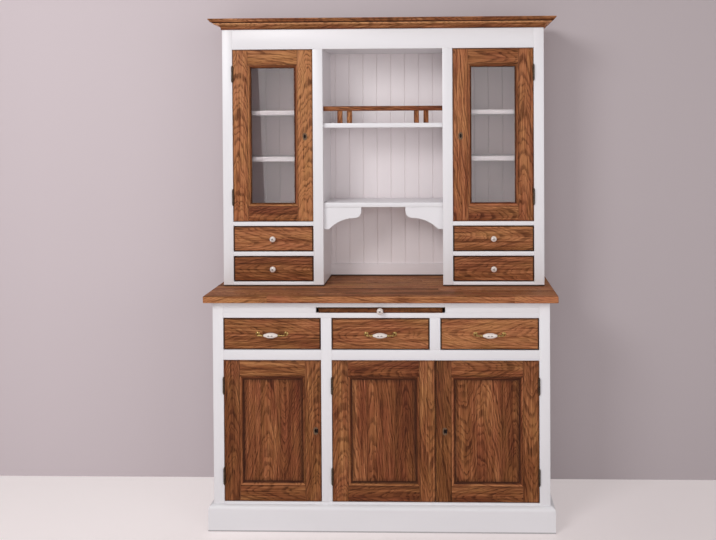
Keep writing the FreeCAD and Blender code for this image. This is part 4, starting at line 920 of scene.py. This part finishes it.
def drawer(name, side_height, length, rounding, stain):
    """A drawer's front and box, where the CAD drawer stands."""
    low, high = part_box(name)
    behind = low.y + DRAWER_FRONT_THICK
    end = behind + length
    side_z = (low.z, low.z + side_height)
    inner_x = (low.x + DRAWER_SIDE_THICK, high.x - DRAWER_SIDE_THICK)
    bottom_z = [low.z + rise for rise in DRAWER_BOTTOM]
    front = plain_board(
        (low.x, low.y, low.z + DRAWER_FRONT_LIFT), (high.x, behind, high.z), rounding, 0, 4, stain=stain
    )
    box = [
        member((low.x, inner_x[0]), (behind, end), side_z, 1),
        member((inner_x[1], high.x), (behind, end), side_z, 1),
        member(inner_x, (end - DRAWER_SIDE_THICK, end), (bottom_z[1], side_z[1]), 0),
        member(inner_x, (behind, end), bottom_z, 0, 0.0003),
    ]
    for piece in (front, *box):
        piece.data.materials.append(oak_front)
    for piece in box:
        piece.data.materials.append(pine)
        for polygon in piece.data.polygons:
            polygon.material_index = 1
    whole = join_as(name + "_box", [front, *box], None)
    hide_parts(name)
    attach(whole, name)


for tag, stain in (("left", 0.67), ("middle", 0.85), ("right", 0.86)):
    drawer("base_drawer_" + tag, BASE_SIDE_HEIGHT, BASE_BOX_LENGTH, BASE_FRONT_ROUND, stain)

# Bow pulls: a brass rod bent at both feet, with turned rosettes and collars, cast in one piece.
# A glazed ceramic grip is threaded on it, thick in the middle and drawn in to both ends.
PULL_PLACES = (("left", -0.452), ("middle", 0.0), ("right", 0.452))
PULL_REACH = 0.028
PULL_HALF_SPAN = 0.059
ROD_BEND, ROD_RADIUS = 0.009, 0.0034
ROD_TENON = 0.0005
GRIP_HALF = 0.0295
COLLAR_LENGTH = 0.009
ROSETTE_PROFILE = (
    (0, 0.0094), (0.0005, 0.0094), (0.0012, 0.0091), (0.0017, 0.0078), (0.0019, 0.0066), (0.0027, 0.0062),
    (0.0033, 0.0052), (0.0036, 0.0038),
)
COLLAR_PROFILE = (
    (0, 0.0038), (0.0006, 0.0045), (0.002, 0.0047), (0.003, 0.0042), (0.0046, 0.0048), (0.0066, 0.0057),
    (0.0082, 0.0060), (COLLAR_LENGTH, 0.0054),
)
GRIP_PROFILE = (
    (0, 0.0040), (0.0008, 0.0048), (0.004, 0.0058), (0.0085, 0.0074), (0.0137, 0.0094), (0.0183, 0.0107),
    (0.0235, 0.0113), (GRIP_HALF, 0.0114),
)
LEAF_PLACE, LEAF_LENGTH, LEAF_WIDTH = 0.0066, 0.0058, 0.0027
MARK_INK = (0.10, 0.065, 0.06, 1)
brass = metal_material("aged_brass", (0.50, 0.34, 0.12, 1), (0.20, 0.12, 0.045, 1), 160, 0.2, 0.28, 0.00006)


def new_disc(vertices, radius, place, turn):
    """A flat disc, its face selected in edit mode."""
    choose()
    bpy.ops.mesh.primitive_circle_add(
        vertices=vertices, radius=radius, fill_type="NGON", location=place, rotation=turn
    )
    disc = fix_place()
    edit()
    return disc


def turned_piece(start, direction, profile):
    """A turned piece: a disc drawn out along its axis and resized, through pairs of length and radius."""
    start, direction = Vector(start), Vector(direction)
    piece = new_disc(32, profile[0][1], start, direction.to_track_quat("Z", "Y").to_euler())
    for (length, radius), (next_length, next_radius) in zip(profile, profile[1:]):
        draw_out(*(direction * (next_length - length)))
        bpy.ops.transform.resize(
            value=[next_radius / radius] * 3, center_override=start + direction * next_length
        )
    face_outwards()
    place = piece.data.attributes.new("turned", "FLOAT_VECTOR", "POINT")
    for index, vertex in enumerate(piece.data.vertices):
        place.data[index].vector = vertex.co - start
    rounding = piece.modifiers.new("rounding", "SUBSURF")
    rounding.levels = rounding.render_levels = 1
    bpy.ops.object.modifier_apply(modifier=rounding.name)
    return piece


def bent_rod(x, front, z):
    """The bow's rod: out from the left foot, round the bend, along, round again and back."""
    left, right = x - PULL_HALF_SPAN, x + PULL_HALF_SPAN
    reach = PULL_REACH - ROD_BEND
    rod = new_disc(20, ROD_RADIUS, (left, front, z), (math.radians(90), 0, 0))
    draw_out(0, -reach, 0)
    along = (right - left - ROD_BEND * 2, 0, 0)
    for bend_x, way_on in ((left + ROD_BEND, along), (right - ROD_BEND, (0, reach, 0))):
        bpy.ops.mesh.spin(
            steps=8, angle=math.radians(-90), center=(bend_x, front - reach, z), axis=(0, 0, 1)
        )
        draw_out(*way_on)
    bpy.ops.mesh.select_all(action="SELECT")
    bpy.ops.mesh.remove_doubles(threshold=TOUCHING)
    face_outwards()
    return rod


glaze, inside, outside = group_tree(
    "ceramic_glaze", {"Place": "Vector", "Mark": 0.0}, ("Colour", "Roughness", "Height")
)
cloud = noise(glaze, inside["Place"], 70, 2)
body = blend(glaze, cloud, (0.74, 0.65, 0.59, 1), (0.82, 0.74, 0.68, 1))
put_out(
    glaze, outside, Colour=blend(glaze, inside["Mark"], body, MARK_INK),
    Roughness=math_of(glaze, "MULTIPLY_ADD", cloud, 0.1, 0.06), Height=cloud,
)


def ceramic_material(name, draw_mark):
    """Glazed ceramic with a small plain mark under the glaze."""
    made, tree = new_material(name)
    place = attribute(tree, "turned")
    mark = draw_mark(tree, *axes_of(tree, place))
    skin = add_node(tree, "Group", {"Place": place, "Mark": mark}, node_tree=glaze).outputs
    finish_material(
        tree, Base_Color=skin["Colour"], Roughness=skin["Roughness"],
        Normal=raised(tree, skin["Height"], 0.2, 0.0002), Coat_Weight=0.6, Coat_Roughness=0.04,
    )
    return made


def grip_mark(tree, x, y, z):
    """Two short leaves, end to end, on the front of the grip."""
    along = math_of(tree, "ABSOLUTE", math_of(tree, "SUBTRACT", x, GRIP_HALF))
    offset = math_of(tree, "DIVIDE", math_of(tree, "SUBTRACT", along, LEAF_PLACE), LEAF_LENGTH)
    lift = math_of(tree, "DIVIDE", z, LEAF_WIDTH)
    outline = math_of(tree, "MULTIPLY_ADD", lift, lift, math_of(tree, "ABSOLUTE", offset))
    leaf = ramp(tree, outline, 0.85, 1.05, 0.9, 0.0)
    vein = ramp(tree, math_of(tree, "ABSOLUTE", z), 0.0002, 0.0004, 0.4, 1.0)
    leaf = math_of(tree, "MULTIPLY", leaf, vein)
    return math_of(tree, "MULTIPLY", leaf, math_of(tree, "LESS_THAN", y, 0.0))


grip_ceramic = ceramic_material("grip_ceramic", grip_mark)
low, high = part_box("base_drawer_left")
pull_z = (low.z - DRAWER_GAP_BELOW + high.z + DRAWER_GAP_ABOVE) / 2
for tag, x in PULL_PLACES:
    name = "base_drawer_" + tag
    pieces = [bent_rod(x, BASE_FRONT - ROD_TENON, pull_z)]
    for side in (-1, 1):
        foot = (x + PULL_HALF_SPAN * side, BASE_FRONT, pull_z)
        shoulder = (x + (GRIP_HALF + COLLAR_LENGTH) * side, BASE_FRONT - PULL_REACH, pull_z)
        pieces.append(turned_piece(foot, (0, -1, 0), ROSETTE_PROFILE))
        pieces.append(turned_piece(shoulder, (-side, 0, 0), COLLAR_PROFILE))
    bow = join_as(name + "_bow", pieces, brass, 40)
    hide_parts(name + "_pull")
    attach(bow, name)
    far_half = [(GRIP_HALF * 2 - length, radius) for length, radius in reversed(GRIP_PROFILE[:-1])]
    grip = join_as(name + "_grip_barrel", [
        turned_piece((x - GRIP_HALF, BASE_FRONT - PULL_REACH, pull_z), (1, 0, 0), [*GRIP_PROFILE, *far_half])
    ], grip_ceramic, 60)
    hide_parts(name + "_grip")
    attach(grip, name)

# Serving board: one oak board that slides out on guides from a slot under the worktop.
# Its knob is turned ceramic, glazed white with a small mark, and screwed on through the front edge.
KNOB_PROFILE = (
    (0, 0.0078), (0.0006, 0.008), (0.0028, 0.0079), (0.0042, 0.0068), (0.006, 0.006), (0.009, 0.0062),
    (0.0112, 0.0086), (0.0134, 0.0115), (0.016, 0.0129), (0.0185, 0.013), (0.0215, 0.0119),
    (0.0242, 0.0092), (0.0262, 0.0054), (0.027, 0.0014),
)
SLAB_ROUND = 0.003
SLAB_KNOB_SCALE = 1.08
low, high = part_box("serving_board")
board_slab = join_as("serving_board_slab", [plain_board(low, high, SLAB_ROUND, 0, 3, stain=0.35)], oak)
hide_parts("serving_board")
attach(board_slab, "serving_board")


def knob_mark(tree, x, y, z):
    """A dot inside a thin ring, on the knob's face."""
    squares = math_of(tree, "MULTIPLY_ADD", x, x, math_of(tree, "MULTIPLY", z, z))
    radius = math_of(tree, "SQRT", squares)
    dot = ramp(tree, radius, 0.0030, 0.0038, 0.9, 0.0)
    ring = math_of(tree, "COMPARE", radius, 0.0052, 0.0008)
    mark = math_of(tree, "MULTIPLY_ADD", ring, 0.6, dot)
    return math_of(tree, "MULTIPLY", mark, math_of(tree, "LESS_THAN", y, -0.02))


knob_ceramic = ceramic_material("knob_ceramic", knob_mark)


def ceramic_knob(name, body, front, scale=1.0):
    """One turned knob, bedded on its front by a round foot, where the CAD knob stands."""
    low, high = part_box(name)
    place = ((low.x + high.x) / 2, front, (low.z + high.z) / 2)
    profile = [(length * scale, radius * scale) for length, radius in KNOB_PROFILE]
    knob = join_as(name + "_turned", [turned_piece(place, (0, -1, 0), profile)], knob_ceramic, 60)
    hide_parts(name)
    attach(knob, body)


ceramic_knob("serving_board_knob", "serving_board", BASE_FRONT, SLAB_KNOB_SCALE)

# Hutch: a face frame like the base's, glued up from softwood on sides and dividers and painted white.
# It stands on the worktop by thin felt pads, and a dark line painted along its foot is a painted shadow of
# the gap over the worktop.
HUTCH_FRONT = -0.02525
HUTCH_FOOT, HUTCH_TOP = 0.9825, 2.103
HUTCH_FRIEZE = 2.0165
HUTCH_OPENING_HALF = 0.6565
HUTCH_INNER_STILE = (0.261, 0.3045)
HUTCH_RAILS = ((HUTCH_FOOT, 1.0015), (1.1145, 1.133), (1.246, 1.264))
HUTCH_SIDE_TONE = (0.77, 0.735, 0.745, 1)
hutch_y = (HUTCH_FRONT, HUTCH_FRONT + FRAME_THICK)
boards = [member((-HUTCH_OPENING_HALF, HUTCH_OPENING_HALF), hutch_y, (HUTCH_FRIEZE, HUTCH_TOP), 0)]
for side in (-1, 1):
    boards.append(member(hand(side, HUTCH_OPENING_HALF, BODY_HALF), hutch_y, (HUTCH_FOOT, HUTCH_TOP), 2))
    boards.append(member(hand(side, *HUTCH_INNER_STILE), hutch_y, (HUTCH_FOOT, HUTCH_FRIEZE), 2))
    for z in HUTCH_RAILS:
        boards.append(member(hand(side, HUTCH_INNER_STILE[1], HUTCH_OPENING_HALF), hutch_y, z, 0))
# The hutch frame and sides get a dark line at the hutch's foot, a painted shadow of the gap over the worktop.
paint_hutch = painted_material("satin_paint_hutch", PAINT_TONE, own_boards=True, foot=HUTCH_FOOT)
paint_sides = painted_material("satin_paint_hutch_sides", HUTCH_SIDE_TONE, upright=True, foot=HUTCH_FOOT)
hutch_frame = join_as("hutch_frame_boards", boards, paint_hutch)
dress(["hutch_uprights"], paint_sides)
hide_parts("hutch_face_frame")
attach(hutch_frame, "cabinet")
felt, tree = new_material("pad_felt")
fibre = noise(tree, object_place(tree), 700, 4, 0.8)
finish_material(
    tree, Base_Color=blend(tree, fibre, (0.035, 0.028, 0.024, 1), (0.09, 0.075, 0.065, 1)), Roughness=0.95,
    Normal=raised(tree, fibre, 0.6, 0.0004),
)
dress(["hutch_pads"], felt)

# Back boards: tongued and grooved, with a small V along each joint, nailed to the hutch's back.
# The bay has a low rail at its foot and two shelves, the lower one on scroll-cut brackets.
SHELF_THICK, SHELF_EASE = 0.020, 0.0016
CUPBOARD_INSIDE = 0.281
BACK_BOARD_WIDTH, FIRST_JOINT = 0.065, 0.020
BAY_HALF = 0.27
# The cupboards' backs are painted darker, a painted shade behind the glass.
BACK_TONE, CUPBOARD_PAINTED_SHADE = (0.79, 0.72, 0.725, 1), (0.78, 0.70, 0.69, 1)
dress(["back_boards"], pine_backed(
    "boards_paint_and_pine", BACK_TONE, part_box("back_boards")[1].y, BACK_BOARD_WIDTH, FIRST_JOINT,
    (BAY_HALF, CUPBOARD_PAINTED_SHADE),
))
# The rail's dark line at its foot is a painted shadow of the gap over the worktop.
dress(["bay_back_rail"], painted_material("satin_paint_rail", (0.76, 0.70, 0.71, 1), foot=HUTCH_FOOT))
dress(["shelf_cleats", "scroll_brackets"], paint_level)
for node, bay in (("bay_shelves", True), ("cupboard_shelves", False)):
    low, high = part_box(node)
    shelf_x = ((low.x, high.x),) if bay else ((low.x, -CUPBOARD_INSIDE), (CUPBOARD_INSIDE, high.x))
    shelves = join_as(node + "_boards", [
        member(x, (low.y, high.y), (top - SHELF_THICK, top), 0, SHELF_EASE)
        for top in (low.z + SHELF_THICK, high.z) for x in shelf_x
    ], paint_boards)
    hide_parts(node)
    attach(shelves, "cabinet")

# Gallery: a light oak rail with rounded edges that keeps things on the bay's upper shelf.
# It lies on four small square-cut oak posts, in pairs near its ends, that are screwed to the shelf.
POST_PLACES = (-0.189, -0.147, 0.147, 0.189)
POST_WIDTH, POST_DEPTH, POST_HEIGHT = 0.022, 0.014, 0.0535
POST_EASE, RAIL_ROUND = 0.0008, 0.005
low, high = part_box("gallery_rail")
post_top_z = low.z + POST_HEIGHT
middle_y = (low.y + high.y) / 2
post_y = (middle_y - POST_DEPTH / 2, middle_y + POST_DEPTH / 2)
boards = [plain_board((low.x, low.y, post_top_z), high, RAIL_ROUND, 0, 4, long_only=True, stain=0.55)]
for x in POST_PLACES:
    post_x = (x - POST_WIDTH / 2, x + POST_WIDTH / 2)
    boards.append(member(post_x, post_y, (low.z, post_top_z), 2, POST_EASE, 0.6))
gallery = join_as("gallery_rail_and_posts", boards, oak_staves)
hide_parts("gallery_rail")
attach(gallery, "cabinet")

# Small drawers: two on each side of the bay, made as the base drawers are, with fuller rounded fronts.
# Each has one ceramic knob like the serving board's, a little smaller.
SMALL_SIDE_HEIGHT, SMALL_BOX_LENGTH, SMALL_FRONT_ROUND = 0.092, 0.222, 0.0048
for row, stain in (("lower", 0.62), ("upper", 0.78)):
    for tag in ("left", "right"):
        name = f"small_drawer_{row}_{tag}"
        drawer(name, SMALL_SIDE_HEIGHT, SMALL_BOX_LENGTH, SMALL_FRONT_ROUND, stain)
        ceramic_knob(name + "_knob", name, HUTCH_FRONT)

# Glazed doors: the same oak joinery and mouldings round a flat pane of float glass.
# The pane is bedded against the front moulding and held by thinner mitred beads at the back.
GLAZED_KEYHOLE = (0.3395, 1.640)
BEAD_SHARE = 0.9
GLAZED_RAIL_STAINS = (-0.22, -0.12)
for tag, side, stain in (("left", -1, 0.88), ("right", 1, 0.74)):
    name = "glazed_door_" + tag
    keyhole = (GLAZED_KEYHOLE[0] * side, GLAZED_KEYHOLE[1])
    boards, clear_x, clear_z = door_frame(name + "_frame", keyhole, stain, *GLAZED_RAIL_STAINS)
    pane_low, pane_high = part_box(name + "_glass")
    boards.append(moulding_ring(clear_x, clear_z, pane_low.y, -1, 0.6))
    boards.append(moulding_ring(clear_x, clear_z, pane_high.y, 1, 0.6, BEAD_SHARE))
    door = join_as(name + "_joinery", boards, oak)
    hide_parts(name + "_frame")
    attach(door, name)
glass, tree = new_material("window_glass")
ripple = noise(tree, object_place(tree), 3.0, 1)
pane_shader = add_node(tree, "BsdfPrincipled", {
    "Base Color": (0.975, 0.94, 0.935, 1), "Roughness": ramp(tree, ripple, 0.4, 0.7, 0.0, 0.003),
    "Normal": raised(tree, ripple, 0.1, 0.0005), "Transmission Weight": 1.0, "IOR": 1.45,
})
lamps_through = add_node(tree, "BsdfTransparent", {"Color": (0.31, 0.24, 0.23, 1)})
shadow_ray = add_node(tree, "LightPath").outputs["Is Shadow Ray"]
pane = add_node(tree, "MixShader", {0: shadow_ray, 1: pane_shader, 2: lamps_through})
add_node(tree, "OutputMaterial", {"Surface": pane})
dress(["glazed_door_left_glass", "glazed_door_right_glass"], glass)

# Cornice: one oak moulding, planed to a cove, a step and a rounded face under a thin lip.
# It runs along the front, is mitred at both corners and returned along the sides.
CORNICE_BACK, CORNICE_FOOT, CORNICE_LIP, CORNICE_HEIGHT = 0.0220, -0.004, -0.049, 0.0435
CORNICE_REACH = CORNICE_BACK - CORNICE_LIP
CORNICE_FACE = (
    (CORNICE_FOOT, 0.0), (CORNICE_FOOT, 0.004), (-0.0047, 0.0085), (-0.0068, 0.0128), (-0.0103, 0.0167),
    (-0.0151, 0.0197), (-0.0205, 0.0214), (-0.026, 0.022), (-0.031, 0.022), (-0.031, 0.025),
    (-0.0363, 0.0268), (-0.0408, 0.0297), (-0.0441, 0.0336), (-0.046, 0.038), (CORNICE_LIP, 0.038),
    (CORNICE_LIP, 0.0427), (-0.0482, CORNICE_HEIGHT), (CORNICE_BACK, CORNICE_HEIGHT), (CORNICE_BACK, 0.0),
)
# Painted light and shade on the cornice by height: a painted highlight on the fillet over the cove, painted
# shade under the step and under the lip.
CORNICE_LIGHT_AND_SHADE = (
    (-1, 0.3), (0.0035, 0.5), (0.009, 0.6), (0.0175, 0.65), (0.0205, 1.1), (0.0252, -0.1),
    (0.0272, 0.1), (0.030, 0.5), (0.034, 0.55), (0.0375, 0.2), (0.0385, 0.55),
)
SQUARE_END = 0.02
# A lighter top tone for the cornice's oak, for the painted highlight on its fillet.
cornice_tones_with_highlight = (*oak_tones[:2], (0.30, 0.105, 0.038, 1), (0.78, 0.37, 0.165, 1), *oak_tones[4:])
cornice_oak_painted_light = wood_material("cornice_oak_painted_light", cornice_tones_with_highlight, 0.0070, 0.9, 0.7, 0.6, 0.5, 0.0004)


def cornice_run(length, square_back):
    """A length of the moulding along X, its back on Y = 0, both ends mitred or the far one left square."""
    depth = CORNICE_BACK - CORNICE_FOOT
    choose()
    bpy.ops.mesh.primitive_plane_add(size=1, location=(0, -depth / 2, 0))
    bpy.context.active_object.scale = (length, depth, 1)
    run = fix_place()
    mesh = run.data
    pick(run, "EDGE", lambda first, second: max(first.y, second.y) < 0.0001 - depth)
    for (u0, v0), (u1, v1) in zip(CORNICE_FACE, CORNICE_FACE[1:]):
        bpy.ops.mesh.extrude_edges_move(TRANSFORM_OT_translate={"value": (0, u1 - u0, v1 - v0)})
    bpy.ops.mesh.select_all(action="SELECT")
    bpy.ops.mesh.remove_doubles(threshold=TOUCHING)
    half = length / 2
    cuts = [((-half, -CORNICE_REACH, 0), (-1, 1, 0)), ((half, -CORNICE_REACH, 0), (1, 1, 0))]
    if square_back:
        cuts[1] = ((half - SQUARE_END, 0, 0), (1, 0, 0))
    for place, facing in cuts:
        bpy.ops.mesh.bisect(plane_co=place, plane_no=facing, clear_outer=True, use_fill=True)
        bpy.ops.mesh.select_all(action="SELECT")
    face_outwards()
    set_grain(run, 0)
    # Each face's tone by its height: painted light and shade.
    write_corners(mesh, stain=[
        painted_light_band(polygon.center.z, CORNICE_LIGHT_AND_SHADE) for polygon in mesh.polygons for _ in polygon.loop_indices
    ])
    return run


low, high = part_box("cornice")
front_run = cornice_run(high.x - low.x, False)
front_run.location = (0, low.y + CORNICE_REACH, low.z)
runs = [front_run]
for side in (-1, 1):
    length = high.y - low.y + SQUARE_END
    run = cornice_run(length, True)
    if side < 0:
        edit()
        bpy.ops.transform.mirror(constraint_axis=(True, False, False), center_override=(0, 0, 0))
        face_outwards()
    run.rotation_euler = (0, 0, math.radians(90 * side))
    run.location = ((high.x - CORNICE_REACH) * side, low.y + length / 2, low.z)
    runs.append(run)
for run in runs:
    choose(run)
    fix_place()
cornice = join_as("cornice_moulding", runs, cornice_oak_painted_light, 30)
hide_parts("cornice")
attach(cornice, "cabinet")
